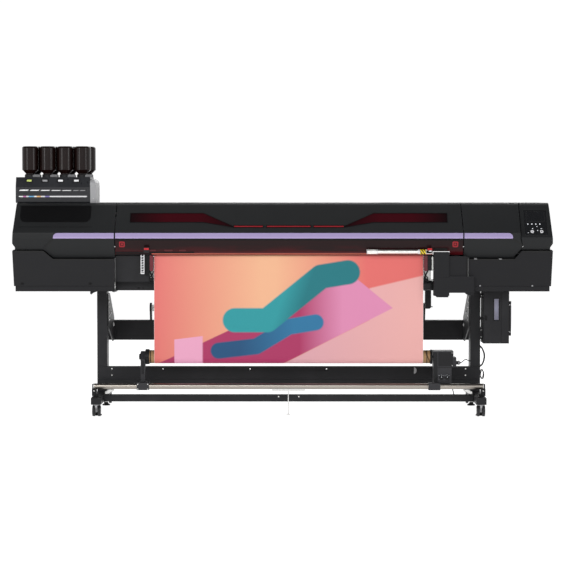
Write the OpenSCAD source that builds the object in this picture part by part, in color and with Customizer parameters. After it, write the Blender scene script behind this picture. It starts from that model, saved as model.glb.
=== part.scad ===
// Roll-fed wide-format printer on a stand, with a take-up roll and an ink station.
// Millimetres. +X right, +Y back, +Z up, floor at Z 0, origin under the middle of the bounding box.

/* [Printer body] */
// Overall width across the end covers
body_w = 3200; // [3160:10:3260]
// Height of the underside of the body above the floor
base_z = 732; // [690:1:760]
// Wall thickness of the plastic covers
wall = 4; // [3:0.5:5]

/* [Media] */
// Width of the media
media_w = 1600; // [1200:10:1620]
// Radius of the supply roll
supply_r = 65; // [50:1:75]
// Radius of the take-up core
core_r = 39; // [36:0.5:42]

/* [Stand] */
// Offset of the stand and the media from the middle of the body
mid_x = 37; // [30:1:45]
// Distance from the middle of the stand to each leg
leg_x = 1130; // [1125:1:1135]
// Radius of the support tube
tube_r = 17; // [14:0.5:18]
// Radius of the caster wheels
wheel_r = 32.5; // [28:0.5:33]

/* [Ink] */
// Radius of an ink bottle
bottle_r = 49; // [40:1:51]
// Height of the ink station
station_h = 154; // [140:1:170]

/* [Hidden] */
$fn = 48;

run = 0.05;         // radial clearance of a shaft in its bore
half_w = body_w / 2;
black = [0.12, 0.12, 0.13];
steel = [0.75, 0.74, 0.72];

// Heights in the body, all from its underside
top_z = base_z + 523;
nose_top_z = base_z + 347;
nose_low_z = base_z + 312;
window_low_z = base_z + 216;
cover_low_z = base_z + 199;
waist_z = base_z + 247;
chassis_top_z = base_z + 55;
platen_z = base_z + 215;
feed_z = platen_z - 15;
rail_z = base_z + 315;

// Depths in the body
slope_y = -190;
nose_y = -330;
tuck_y = -300;
cover_low_y = -294.7;
lower_front_y = -322;
rear_y = 330;
nip_y = 8;

// Seams between the covers, at the top and at the nose
seam_l_top = mid_x - 1026;
seam_l = mid_x - 1030;
seam_r_top = mid_x + 1027;
seam_r = mid_x + 1035;
seam_c_top = mid_x + 1372;
seam_c = mid_x + 1373;
gap = 2;            // half of the gap at a seam, and more at the seam's moving side
end_lean = 12;      // how far each end of the body leans in at the top

// Hinge axes of the covers
hinge_z = top_z - 12;
front_hinge_y = 57;
service_hinge_y = -165;
knuckle_r = 7;
hinge_pin_r = 4;
front_hinges = [mid_x - 740, mid_x, mid_x + 740];
left_hinges = [-half_w + 150, -half_w + 480];
right_hinges = [seam_r + 75, seam_r + 265];

// Stand
foot_low_z = 74;
foot_top_z = 113;
foot_front_y = -475;
foot_rear_y = 325;
col_w = 60;
col_front_y = -55;
col_rear_y = 65;
tube_y = -340;
tube_z = 170;
core_y = -240;
core_z = 338;
roll_y = 410;
roll_z = 592;
beam_low_z = 392;
beam_top_z = 516;
caster_y = [-450, 300];
leveller_y = [-360, 210];
stem_r = 6;
trail = 20;
frame_x = 1044;     // from the middle of the media to each side frame
chuck_pin_r = 8;

function unit(v) = v / norm(v);
function turn(d) = [-d[1], d[0]];

// One point of an open line of points, moved sideways by t with mitred corners
function moved(p, i, t) =
    let (a = turn(unit(p[max(i, 1)] - p[max(i, 1) - 1])))
    let (j = min(i, len(p) - 2))
    let (b = turn(unit(p[j + 1] - p[j])))
    p[i] + t * (a + b) / (1 + a * b);
function moved_line(p, t) = [for (i = [0 : len(p) - 1]) moved(p, i, t)];
function backward(p) = [for (i = [len(p) - 1 : -1 : 0]) p[i]];
// The corner b between a and c, rounded with radius r
function fillet(a, b, c, r, n = 5) =
    let (d = unit(a - b), e = unit(c - b), half = acos(d * e) / 2)
    let (mid = b + unit(d + e) * r / sin(half))
    let (from = b + d * r / tan(half) - mid, to = b + e * r / tan(half) - mid)
    let (a0 = atan2(from[1], from[0]), sweep = (atan2(to[1], to[0]) - a0 + 540) % 360 - 180)
    [for (i = [0 : n]) let (w = a0 + sweep * i / n) mid + r * [cos(w), sin(w)]];
function arc(cy, cz, r, a0, a1, n) = [for (i = [0 : n])
    let (a = a0 + (a1 - a0) * i / n) [cy + r * cos(a), cz + r * sin(a)]];

module box(x0, x1, y0, y1, z0, z1) translate([x0, y0, z0]) cube([x1 - x0, y1 - y0, z1 - z0]);
module rod_x(x0, x1, y, z, r) translate([x0, y, z]) rotate([0, 90, 0]) cylinder(h = x1 - x0, r = r);
module rod_y(x, y0, y1, z, r) translate([x, y1, z]) rotate([90, 0, 0]) cylinder(h = y1 - y0, r = r);
module rod_z(x, y, z0, z1, r) translate([x, y, z0]) cylinder(h = z1 - z0, r = r);

// A section in the YZ plane carried along X, and a section in the XZ plane carried along Y
module along_x(x0, x1) translate([x0, 0, 0]) rotate([90, 0, 90]) linear_extrude(x1 - x0) children();
module along_y(y0, y1) translate([0, y1, 0]) rotate([90, 0, 0]) linear_extrude(y1 - y0) children();

// A sheet of thickness t whose outer face follows the line p
module sheet(p, t) polygon(concat(p, backward(moved_line(p, t))));

// A square tube along X, open at both ends
module tube_x(x0, x1, y0, y1, z0, z1, t) difference() {
    box(x0, x1, y0, y1, z0, z1);
    box(x0 - 1, x1 + 1, y0 + t, y1 - t, z0 + t, z1 - t);
}

// ---- Stand ----

module leg(side) color(black) {
    cx = mid_x + side * leg_x;
    difference() {
        union() {
            box(cx - col_w / 2, cx + col_w / 2, col_front_y, col_rear_y, foot_top_z, base_z);
            box(cx - col_w / 2, cx + col_w / 2, foot_front_y, foot_rear_y, foot_low_z, foot_top_z);
        }
        box(cx - col_w / 2 + 4, cx + col_w / 2 - 4, col_front_y + 4, col_rear_y - 4,
            foot_top_z + 4, base_z + 1);
        for (y = caster_y) rod_z(cx, y, foot_low_z - 1, foot_low_z + 30, stem_r + run);
        for (y = leveller_y) rod_z(cx, y, foot_low_z - 1, foot_top_z + 1, stem_r + run);
    }
}

// The plate from the column back to the rear beam, on the inner face of the column
module gusset(side) color(black) {
    face = mid_x + side * (leg_x - col_w / 2);
    x0 = side < 0 ? face : face - 6;
    difference() {
        along_x(x0, x0 + 6) polygon([
            [-30, base_z - 30], [90, base_z - 30], [395, beam_top_z + 20], [395, beam_low_z],
            [300, beam_low_z], [-30, base_z - 225]
        ]);
        for (hole = [[35, base_z - 75], [45, base_z - 160], [165, base_z - 150], [330, base_z - 240]])
            rod_x(x0 - 1, x0 + 7, hole[0], hole[1], 8);
    }
}

module rear_beam() color(black)
    tube_x(mid_x - leg_x - 10, mid_x + leg_x + 10, 395, 455, beam_low_z, beam_top_z, 3);

module lower_crossbeam() color(black) {
    x0 = mid_x - leg_x + col_w / 2;
    x1 = mid_x + leg_x - col_w / 2;
    difference() {
        union() {
            tube_x(x0, x1, col_front_y, 5, 154, 262, 4);
            box(x0 - col_w, x1 + col_w, col_front_y - 3, col_front_y, 154, 262);
        }
        box(x0 - col_w - 1, x1 + col_w + 1, col_front_y - 4, col_front_y - 1, 182, 190);
        for (x = [mid_x - 763, mid_x - 234, mid_x + 230]) rod_y(x, col_front_y - 4, 6, 246, 5.5);
    }
}

module tie_beam() color(black)
    box(mid_x - leg_x + col_w / 2, mid_x + leg_x - col_w / 2, -290, -230, foot_low_z, foot_top_z);

module support_tube() color(steel) difference() {
    rod_x(mid_x - 1151, mid_x + 1151, tube_y, tube_z, tube_r);
    rod_x(mid_x - 1152, mid_x + 1152, tube_y, tube_z, tube_r - 2);
}

// A split block round the support tube
module tube_block(x0, x1, y0, y1, z0, z1) difference() {
    box(x0, x1, y0, y1, z0, z1);
    rod_x(x0 - 1, x1 + 1, tube_y, tube_z, tube_r + run);
}

module tube_clamps() color(black) for (side = [-1, 1]) {
    cx = mid_x + side * 1152;
    tube_block(cx - 14, cx + 14, tube_y - 6, tube_y + 28, foot_top_z, tube_z + 12);
}

module tube_prop() color(steel) {
    difference() {
        box(mid_x - 98, mid_x + 96, tube_y - 12, tube_y + 12, tube_z - tube_r - 10, tube_z - tube_r + 3);
        rod_x(mid_x - 100, mid_x + 100, tube_y, tube_z, tube_r + run);
    }
    rod_z(mid_x - 2, tube_y, 4, tube_z - tube_r - 10, 3);
    rod_z(mid_x - 2, tube_y, 0, 5, 13);
}

module stand_bolts() color(steel) {
    for (side = [-1, 1], z = [211, 250])
        rod_y(mid_x + side * 1071, col_front_y - 7, col_front_y - 3, z, 4);
    for (side = [-1, 1]) rod_y(mid_x + side * 60, -294, -290, 104, 4);
    for (side = [-1, 1], z = [base_z - 110, base_z - 190]) {
        face = mid_x + side * (leg_x - col_w / 2 - 6);
        rod_x(min(face, face - side * 5), max(face, face - side * 5), 10, z, 7);
    }
}

module caster_fork(cx, cy) color(black) translate([cx, cy, 0]) {
    axle_z = wheel_r + 2;
    rod_z(0, 0, foot_low_z - 1, foot_low_z + 29, stem_r);
    rod_z(0, 0, foot_low_z - 4.5, foot_low_z - 0.5, 22);
    along_x(-6, 6) polygon([
        [-19, foot_low_z - 4], [19, foot_low_z - 4], [trail + 11, axle_z + 8],
        [trail + 8, axle_z - 8], [trail - 8, axle_z - 8], [trail - 12, axle_z + 8]
    ]);
    rod_x(-25, 25, trail, axle_z, 4);
}

module caster_wheels(cx, cy) color([0.2, 0.2, 0.2]) translate([cx, cy, 0])
    for (side = [-1, 1]) translate([side * 16, trail, wheel_r + 2]) rotate([0, 90, 0])
        rotate_extrude() polygon([
            [4 + run, -8.5], [wheel_r - 12, -8.5], [wheel_r - 9, -8], [wheel_r - 2, -8],
            [wheel_r, -6], [wheel_r, 6], [wheel_r - 2, 8], [wheel_r - 9, 8],
            [wheel_r - 12, 8.5], [4 + run, 8.5]
        ]);

module levelling_foot(cx, cy) color([0.25, 0.25, 0.25]) translate([cx, cy, 0]) rotate_extrude()
    polygon([
        [0, 0], [24.5, 0], [24.5, 5], [13, 13], [11, 20], [stem_r, 20],
        [stem_r, foot_top_z + 15], [0, foot_top_z + 15]
    ]);

// ---- Printer body ----

module chassis_beam() color(black)
    tube_x(-half_w + 40, half_w - 40, -200, 100, base_z, chassis_top_z, 4);

module side_frames() color(black) for (side = [-1, 1]) {
    cx = mid_x + side * frame_x;
    difference() {
        along_x(cx - 4, cx + 4) polygon([
            [-12, chassis_top_z], [100, chassis_top_z], [150, base_z + 135], [150, rail_z + 160],
            [110, rail_z + 160], [110, rail_z], [-12, rail_z]
        ]);
        rod_x(cx - 5, cx + 5, nip_y, feed_z, chuck_pin_r + run);
    }
}

// The faces of the covers, from the top edge down to the tuck under the nose
top_corner = [slope_y, top_z];
nose_corner = [nose_y, nose_top_z];
nose_foot = [nose_y, nose_low_z];
cover_line = concat(
    fillet([0, top_z], top_corner, nose_corner, 40),
    fillet(top_corner, nose_corner, nose_foot, 20),
    [nose_foot]
);
front_line = concat([[front_hinge_y + 1, top_z]], cover_line);
service_line = concat([[service_hinge_y + 1, top_z]], cover_line, [[cover_low_y, cover_low_z]]);
service_inner = concat([[-130, top_z]], cover_line, [[cover_low_y + 7.5, cover_low_z - 24]]);

// A service cover's space behind its face, with the outer or the inner side of the face
module service_space() polygon(concat(service_line, [
    [service_hinge_y - 4, cover_low_z], [service_hinge_y - 4, top_z - 26],
    [service_hinge_y + 1, top_z - wall]
]));
module service_hollow()
    polygon(concat(moved_line(service_inner, wall), [[-130, cover_low_z - 24]]));

// The front views of the covers
left_outline = [
    [-half_w + end_lean, top_z], [seam_l_top - gap, top_z], [seam_l - gap, nose_low_z],
    [seam_l - gap, cover_low_z], [seam_l - 366, cover_low_z], [seam_l - 423, waist_z],
    [-half_w + 15, waist_z], [-half_w + 15, waist_z + 13], [-half_w, waist_z + 36]
];
right_outline = [
    [seam_r_top + gap, top_z], [seam_c_top - gap, top_z], [seam_c - gap, nose_low_z],
    [seam_c + 14 - gap, nose_low_z - 51], [seam_c - 39 - gap, cover_low_z],
    [seam_r + gap, cover_low_z], [seam_r + gap, nose_low_z]
];
housing_outline = [
    [seam_c_top + gap, top_z], [half_w - end_lean, top_z], [half_w, waist_z + 36],
    [half_w - 15, waist_z + 13], [half_w - 15, waist_z], [seam_c + 2 + gap, waist_z],
    [seam_c + 14 + gap, nose_low_z - 51], [seam_c + gap, nose_low_z]
];
body_outline = [
    [-half_w + end_lean, top_z], [half_w - end_lean, top_z], [half_w, waist_z + 36],
    [half_w - 15, waist_z + 13], [half_w - 15, waist_z + 2], [-half_w + 15, waist_z + 2],
    [-half_w + 15, waist_z + 13], [-half_w, waist_z + 36]
];

// A knuckle under a cover's top edge, with the bore for its pin
module knuckle(x, y) difference() {
    union() {
        rod_x(x - 20, x + 20, y, hinge_z, knuckle_r);
        box(x - 20, x + 20, y - knuckle_r, y, hinge_z, top_z - wall + 0.5);
    }
    rod_x(x - 21, x + 21, y, hinge_z, hinge_pin_r + run);
}

// The two ears and the pin that hold a knuckle; reach is the depth of the ears behind the pin
module hinge_ears(x, y, reach) {
    rod_x(x - 33, x + 33, y, hinge_z, hinge_pin_r);
    for (side = [-1, 1]) {
        x0 = side < 0 ? x - 33 : x + 21;
        rod_x(x0, x0 + 12, y, hinge_z, knuckle_r);
        box(x0, x0 + 12, y, y + reach, hinge_z - knuckle_r, hinge_z - 1);
        box(x0, x0 + 12, y + reach - 12, y + reach, hinge_z - 2, top_z - wall + 0.5);
    }
}

module rear_cover() color(black) {
    back = [
        [service_hinge_y + 13, top_z], [rear_y - 45, top_z], [rear_y, top_z - 45],
        [rear_y, waist_z + 2], [service_hinge_y - 2, waist_z + 2],
        [service_hinge_y - 2, top_z - 28], [service_hinge_y + 13, top_z - 28]
    ];
    hollow = [
        [-400, top_z - wall], [rear_y - 46.7, top_z - wall], [rear_y - wall, top_z - 46.7],
        [rear_y - wall, waist_z - 80], [-400, waist_z - 80]
    ];
    difference() {
        intersection() {
            along_x(-half_w, half_w) polygon(back);
            along_y(-400, 400) polygon(body_outline);
        }
        intersection() {
            along_x(-half_w, half_w) polygon(hollow);
            along_y(-401, 401) polygon([
                [-half_w + end_lean + wall, top_z], [half_w - end_lean - wall, top_z],
                [half_w - wall, waist_z + 36], [half_w - 15 - wall, waist_z + 13],
                [half_w - 15 - wall, waist_z - 80], [-half_w + 15 + wall, waist_z - 80],
                [-half_w + 15 + wall, waist_z + 13], [-half_w + wall, waist_z + 36]
            ]);
        }
        along_y(-402, front_hinge_y + 13) polygon([
            [seam_l_top, top_z + 1], [seam_r_top, top_z + 1], [seam_r, nose_low_z],
            [seam_r, waist_z - 90], [seam_l, waist_z - 90], [seam_l, nose_low_z]
        ]);
    }
    for (x = front_hinges) hinge_ears(x, front_hinge_y, 38);
    for (x = concat(left_hinges, right_hinges)) hinge_ears(x, service_hinge_y, 38);
}

// A lower end cover: walls and a floor round the end of the chassis beam
module lower_cover(side) color(black) {
    seam = side < 0 ? -seam_l + gap : seam_r + 31;
    tip = side < 0 ? -seam_l + 423 : seam_c + 8;
    low = side < 0 ? -seam_l + 366 : seam_c - 35;
    difference() {
        mirror([side < 0 ? 1 : 0, 0, 0]) {
            difference() {
                union() {
                    along_y(lower_front_y, -288) polygon([
                        [half_w, waist_z - 6], [tip, waist_z - 6], [low, cover_low_z - 6],
                        [seam, cover_low_z - 6], [seam, base_z], [half_w - 19, base_z],
                        [half_w - 19, base_z + 31], [half_w - 10, base_z + 31]
                    ]);
                    along_y(-288, rear_y) polygon([
                        [half_w, waist_z - 2], [seam, waist_z - 2], [seam, base_z],
                        [half_w - 19, base_z], [half_w - 19, base_z + 31],
                        [half_w - 10, base_z + 31]
                    ]);
                }
                along_y(lower_front_y + wall, rear_y - wall) polygon([
                    [half_w - wall, waist_z], [seam - 1, waist_z], [seam - 1, base_z + 3],
                    [half_w - 23, base_z + 3], [half_w - 23, base_z + 31], [half_w - 14, base_z + 31]
                ]);
            }
            box(seam, seam + wall, lower_front_y + 1, -205, base_z + 1, cover_low_z - 2);
        }
        box(-half_w + 40, half_w - 40, -200, 100, base_z - 1, chassis_top_z);
    }
}

housing_nose = [nose_y, base_z + 320];
housing_corner = fillet([0, top_z], top_corner, housing_nose, 40);
housing_line = concat([[service_hinge_y + 12, top_z]], housing_corner, [
    housing_nose, nose_foot, [nose_y + (nose_low_z - waist_z) * 0.3125, waist_z]
]);
housing_inner = concat([[-130, top_z]], housing_corner, [
    housing_nose, nose_foot, [nose_y + (nose_low_z - waist_z + 24) * 0.3125, waist_z - 24]
]);
housing_face = housing_nose - top_corner;
housing_lean = atan2(-housing_face[0], -housing_face[1]);
panel_x = [seam_c + 26, half_w - 31];

// Places children on the control housing's slope: X across, Y up the slope, Z out of it
module on_housing() translate([0, slope_y, top_z])
    rotate([90 - housing_lean, 0, 0]) children();

panel_top = -52;    // along the slope, from its top edge
panel_low = -228;

module control_housing() color(black) difference() {
    intersection() {
        along_x(seam_c_top - 40, half_w) polygon(concat(housing_line, [
            [service_hinge_y - 3, waist_z], [service_hinge_y - 3, top_z - 27],
            [service_hinge_y + 12, top_z - 27]
        ]));
        along_y(-400, 400) polygon(housing_outline);
    }
    intersection() {
        along_x(seam_c_top - 60, half_w)
            polygon(concat(moved_line(housing_inner, wall), [[-130, waist_z - 24]]));
        along_y(-401, 401) polygon([
            [seam_c_top - 60, top_z], [half_w - end_lean - wall, top_z], [half_w - wall, waist_z + 36],
            [half_w - 15 - wall, waist_z + 13], [half_w - 15 - wall, waist_z - 30],
            [seam_c_top - 60, waist_z - 30]
        ]);
    }
    on_housing() box(panel_x[0], panel_x[1], panel_low, panel_top, -wall - 1, 2);
}

button_x = [seam_c + 69, seam_c + 125];
button_up = -204;

module display_panel() color([0.08, 0.08, 0.09]) on_housing() difference() {
    box(panel_x[0] - 6, panel_x[1] + 6, panel_low - 6, panel_top + 6, -2 * wall, -wall - run);
    for (x = button_x) rod_z(x, button_up, -2 * wall - 1, -wall + 1, 10 + run);
}

module push_button(x) color([0.85, 0.85, 0.85]) on_housing() {
    rod_z(x, button_up, -wall - 10, -wall + 3, 10);
    rod_z(x, button_up, -2 * wall - 2.4, -2 * wall - 0.4, 13);
}

slot_left = [
    [mid_x - 942, nose_top_z + 115], [mid_x - 505, nose_top_z + 115], [mid_x - 332, nose_top_z + 40],
    [mid_x - 332, nose_top_z + 32], [mid_x - 505, nose_top_z + 61], [mid_x - 942, nose_top_z + 61]
];
slot_right = [for (p = backward(slot_left)) [2 * mid_x - p[0], p[1]]];
centre_outline = [
    [seam_l_top + gap, top_z], [seam_r_top - gap, top_z], [seam_r - gap, nose_low_z],
    [seam_l + gap, nose_low_z]
];

module front_cover() color(black) {
    difference() {
        intersection() {
            along_x(seam_l, seam_r) sheet(front_line, wall);
            along_y(-400, 400) polygon(centre_outline);
        }
        along_y(-400, -195) polygon(slot_left);
        along_y(-400, -195) polygon(slot_right);
    }
    rib = moved_line(front_line, wall);
    for (x = [seam_l_top + 6, seam_r_top - 9])
        along_x(x, x + 3) sheet([for (i = [1 : len(rib) - 1]) rib[i] + [0, i == len(rib) - 1 ? 2 : 0]], 12);
    for (x = front_hinges) knuckle(x, front_hinge_y);
}

// The band under the nose and the two slots in the slope, all of dark transparent plastic
module front_windows() color([0.25, 0.05, 0.07]) {
    difference() {
        along_x(seam_l + 3, seam_r - 3) polygon([
            [nose_y, nose_low_z], [tuck_y, window_low_z], [tuck_y + wall, window_low_z],
            [nose_y + wall, nose_low_z]
        ]);
        box(mid_x + 853, mid_x + 953, -340, -280, window_low_z - 1, window_low_z + 21);
    }
    for (slot = [slot_left, slot_right]) intersection() {
        along_x(seam_l, seam_r) sheet(moved_line(front_line, 0.5), wall - 1);
        along_y(-400, -195) polygon(slot);
    }
}

module left_service_cover() color(black) {
    difference() {
        intersection() {
            along_x(-half_w, seam_l_top) service_space();
            along_y(-400, 400) polygon(left_outline);
        }
        intersection() {
            along_x(-half_w, seam_l_top + 1) service_hollow();
            along_y(-401, 401) polygon([
                [-half_w + end_lean + wall, top_z], [seam_l_top + 50, top_z],
                [seam_l_top + 50, cover_low_z - 40],
                [-half_w + 15 + wall, cover_low_z - 40], [-half_w + 15 + wall, waist_z + 13],
                [-half_w + wall, waist_z + 36]
            ]);
        }
        intersection() {
            along_x(-half_w, seam_l) sheet(service_line, 2);
            along_y(-400, 400) polygon([
                [seam_l - 423, waist_z + 18], [seam_l - 371, nose_low_z - 1],
                [seam_l - 367, nose_low_z - 1], [seam_l - 419, waist_z + 18],
                [seam_l - 419, waist_z + 8], [seam_l - 423, waist_z + 8]
            ]);
        }
    }
    for (x = left_hinges) knuckle(x, service_hinge_y);
}

module right_service_cover() color(black) {
    intersection() {
        along_x(seam_r_top - 20, seam_c + 20) sheet(service_line, wall);
        along_y(-400, 400) polygon(right_outline);
    }
    for (x = right_hinges) knuckle(x, service_hinge_y);
}

// The panel left of the media and the slotted edge brackets at both ends of the platen
module exit_frame() color(black) {
    box(seam_l + 2, mid_x - 826, -276, -270, chassis_top_z, window_low_z - 6);
    box(mid_x - 878, mid_x - 826, -276, -270, base_z + 125, window_low_z - 6);
    difference() {
        box(mid_x - 878, mid_x - 852, -294, -276, base_z + 122, window_low_z - 4);
        for (i = [0 : 4]) box(mid_x - 872, mid_x - 858, -295, -285, base_z + 134 + 15 * i, base_z + 141 + 15 * i);
    }
    box(mid_x - 850, mid_x - 826, -292, -276, base_z + 122, window_low_z - 4);
    box(mid_x + 825, mid_x + 856, -276, -270, base_z + 122, window_low_z - 6);
    box(mid_x + 825, mid_x + 846, -292, -276, base_z + 122, window_low_z - 4);
    box(mid_x + 849, mid_x + 856, -294, -276, base_z + 125, window_low_z - 8);
}

module platen() color(steel) along_x(mid_x - 850, mid_x + 850) union() {
    polygon([[-200, chassis_top_z], [100, chassis_top_z], [100, chassis_top_z + 4], [-200, chassis_top_z + 4]]);
    for (y = [-198, -40, 60]) translate([y, chassis_top_z]) square([6, platen_z - 10 - chassis_top_z]);
    polygon(concat(
        [[-14, platen_z - 12], [-14, platen_z]],
        arc(-262, platen_z - 8, 8, 90, 180, 6),
        [[-270, platen_z - 12]]
    ));
    polygon([
        [34, platen_z - 1.5], [86, platen_z - 4], [140, platen_z - 48], [134, platen_z - 51],
        [84, platen_z - 11], [34, platen_z - 10]
    ]);
}

pinch_z = platen_z + 2 + 9;

module carriage_rail() color([0.5, 0.5, 0.52]) {
    tube_x(-half_w + 60, half_w - 40, 30, 110, rail_z, rail_z + 150, 4);
    box(-half_w + 60, half_w - 40, 22, 30.5, rail_z + 52, rail_z + 68);
    for (dx = [-780, -260, 260, 780]) difference() {
        along_x(mid_x + dx - 6, mid_x + dx + 6) polygon([
            [34, rail_z + 0.5], [64, rail_z + 0.5], [20, pinch_z - 6.5], [0, pinch_z - 6.5],
            [-1, pinch_z + 5], [4, pinch_z + 11]
        ]);
        rod_x(mid_x + dx - 7, mid_x + dx + 7, nip_y, pinch_z, 4 + run);
    }
}

// The stepped cover in front of the right end of the media exit
module drive_cover() color(black) {
    box(mid_x + 858, mid_x + 949, -352, -278, base_z - 25, base_z + 233);
    box(mid_x + 949, mid_x + 1050, -342, -324, base_z + 87, base_z + 206);
    box(mid_x + 949, mid_x + 1096, -352, -323, base_z - 7, base_z + 87);
}

// The static eliminator bar in front of the lower edge of the front cover
module static_bar() color([0.85, 0.85, 0.83]) {
    z = base_z + 235;
    rod_x(mid_x + 463, mid_x + 776, -327, z, 12.5);
    rod_x(mid_x + 463, mid_x + 525, -327, z, 14.5);
    rod_x(mid_x + 776, mid_x + 812, -327, z, 13.5);
    for (x = [[mid_x + 470, mid_x + 518], [mid_x + 812, mid_x + 846]]) along_x(x[0], x[1]) polygon([
        [-338, z - 12], [nose_y + (nose_low_z - z + 12) * 0.3125, z - 12],
        [nose_y + (nose_low_z - z - 12) * 0.3125, z + 12], [-338, z + 12]
    ]);
}

module capping_station() color([0.3, 0.3, 0.32]) difference() {
    box(mid_x + 1123, mid_x + 1363, -190, -20, chassis_top_z, base_z + 205);
    for (i = [0, 1]) box(mid_x + 1143 + 110 * i, mid_x + 1233 + 110 * i, -175, -35, base_z + 190, base_z + 206);
}

module carriage() color([0.16, 0.16, 0.17]) difference() {
    union() {
        along_x(mid_x + 1103, mid_x + 1383) polygon([
            [-15, platen_z + 8], [-235, platen_z + 8], [-235, platen_z + 150],
            [-195, platen_z + 210], [-15, platen_z + 210]
        ]);
        box(mid_x + 1123, mid_x + 1363, -16, 29.5, rail_z + 20, rail_z + 110);
    }
    box(mid_x + 1100, mid_x + 1390, 21.6, 31, rail_z + 51.6, rail_z + 68.4);
}

module feed_roller() color([0.4, 0.4, 0.42]) {
    rod_x(mid_x - 830, mid_x + 830, nip_y, feed_z, 15);
    rod_x(mid_x - frame_x - 4, mid_x + frame_x + 4, nip_y, feed_z, chuck_pin_r);
}

module pinch_rollers() color([0.15, 0.15, 0.15]) {
    rod_x(mid_x - 790, mid_x + 790, nip_y, pinch_z, 4);
    for (i = [0 : 11]) rod_x(mid_x - 745 + 130 * i, mid_x - 685 + 130 * i, nip_y, pinch_z, 9);
}

// ---- Ink ----

station_x = [-half_w, -half_w + 446];
bottle_pitch = 105;
bottle_stagger = 20;
bottle_y = [-76, 32];
bottles = [for (row = [0, 1], i = [0 : 3])
    [-half_w + 80 + bottle_pitch * i + bottle_stagger * row, bottle_y[row]]];

module ink_station() color(black) {
    top = top_z + station_h;
    difference() {
        along_x(station_x[0], station_x[1]) polygon([
            [92, top_z], [92, top - 8], [84, top], [-124, top], [-148, top - 60], [-148, top_z + 6],
            [-142, top_z]
        ]);
        for (b = bottles) rod_z(b[0], b[1], top - 24, top + 1, 20.3);
    }
}

module ink_side_housing() color([0.6, 0.6, 0.62]) {
    top = top_z + station_h;
    x = station_x[1];
    intersection() {
        along_x(x, x + 36) polygon(concat(
            [[92, top_z], [92, top - 34]], arc(74, top - 30, 18, 0, 90, 4),
            arc(-118, top - 42, 30, 90, 180, 6), [[-148, top_z]]
        ));
        along_y(-150, 94) polygon([
            [x, top_z], [x + 36, top_z], [x + 36, top - 58], [x + 34, top - 34], [x + 26, top - 18],
            [x + 12, top - 12], [x, top - 22]
        ]);
    }
}

module ink_bottles() color([0.2, 0.1, 0.08]) for (b = bottles) translate([b[0], b[1], top_z + station_h])
    rotate_extrude() polygon([
        [0, -22], [20, -22], [20, 3], [27, 3], [27, 22], [bottle_r, 44], [bottle_r, 176], [bottle_r - 2, 182],
        [bottle_r - 7, 184], [0, 184]
    ]);

// ---- Media ----

media_x = [mid_x - media_w / 2, mid_x + media_w / 2];
core_wrap = core_r + 0.6;
guide = [143, platen_z - 44];
from_roll = guide - [roll_y, roll_z];
roll_wrap = supply_r + 1.7;
roll_angle = atan2(from_roll[1], from_roll[0]) + acos(roll_wrap / norm(from_roll));
media_line = concat(
    [
        [roll_y + roll_wrap * cos(roll_angle), roll_z + roll_wrap * sin(roll_angle)],
        guide, [88, platen_z - 1.2], [64, platen_z + 0.5]
    ],
    arc(-262, platen_z - 8, 8.5, 90, 180, 4),
    arc(core_y, core_z, core_wrap, 180, 285, 8)
);

module media_sheet() color([0.95, 0.6, 0.55]) along_x(media_x[0], media_x[1]) sheet(media_line, -1);

module supply_brackets() color(black) for (x = [mid_x - 871, mid_x + 844]) difference() {
    along_x(x, x + 12) polygon([
        [398, beam_top_z], [450, beam_top_z], [roll_y + 32, roll_z - 20], [roll_y + 30, roll_z + 24],
        [roll_y + 16, roll_z + 32], [roll_y - 16, roll_z + 32], [roll_y - 30, roll_z + 24],
        [roll_y - 32, roll_z - 20]
    ]);
    rod_x(x - 1, x + 13, roll_y, roll_z, 20 + run);
}

module supply_roll() color([0.93, 0.93, 0.92]) {
    rod_x(media_x[0], media_x[1], roll_y, roll_z, supply_r);
    rod_x(mid_x - 873, mid_x + 858, roll_y, roll_z, 20);
}

core_x = [mid_x - 830, mid_x + 842];

module takeup_core() color([0.55, 0.42, 0.3]) difference() {
    rod_x(core_x[0], core_x[1], core_y, core_z, core_r);
    rod_x(core_x[0] - 1, core_x[1] + 1, core_y, core_z, core_r - 4);
}

module core_chucks() color(black) difference() {
    union() {
        rod_x(core_x[0] - 24, core_x[0], core_y, core_z, core_r + 4);
        rod_x(core_x[0] - 1, core_x[0] + 28, core_y, core_z, core_r - 4);
        rod_x(core_x[1], core_x[1] + 14, core_y, core_z, core_r + 2);
        rod_x(core_x[1] - 28, core_x[1] + 1, core_y, core_z, core_r - 4);
    }
    rod_x(core_x[0] - 25, core_x[0] + 4, core_y, core_z, chuck_pin_r + run);
    rod_x(core_x[1] - 15, core_x[1] + 15, core_y, core_z, chuck_pin_r + run);
}

module takeup_arm() color(black) {
    x0 = core_x[0] - 50;
    rod_x(x0, core_x[0] + 2, core_y, core_z, chuck_pin_r);
    along_x(x0, x0 + 25) polygon(concat(
        [[-262, tube_z + 10]],
        arc(core_y, core_z, 34, -40, 150, 12),
        [[-296, core_z - 12], [-296, tube_z + 10]]
    ));
    tube_block(x0 - 19, x0 + 53, tube_y - 25, -262, tube_z - 21, tube_z + 22);
}

unit_x = mid_x + 861;
lead_z = tube_z + 132;      // height of the lead's connector
knob_x = [unit_x + 45, unit_x + 79];
knob_z = tube_z + 49;

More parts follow.
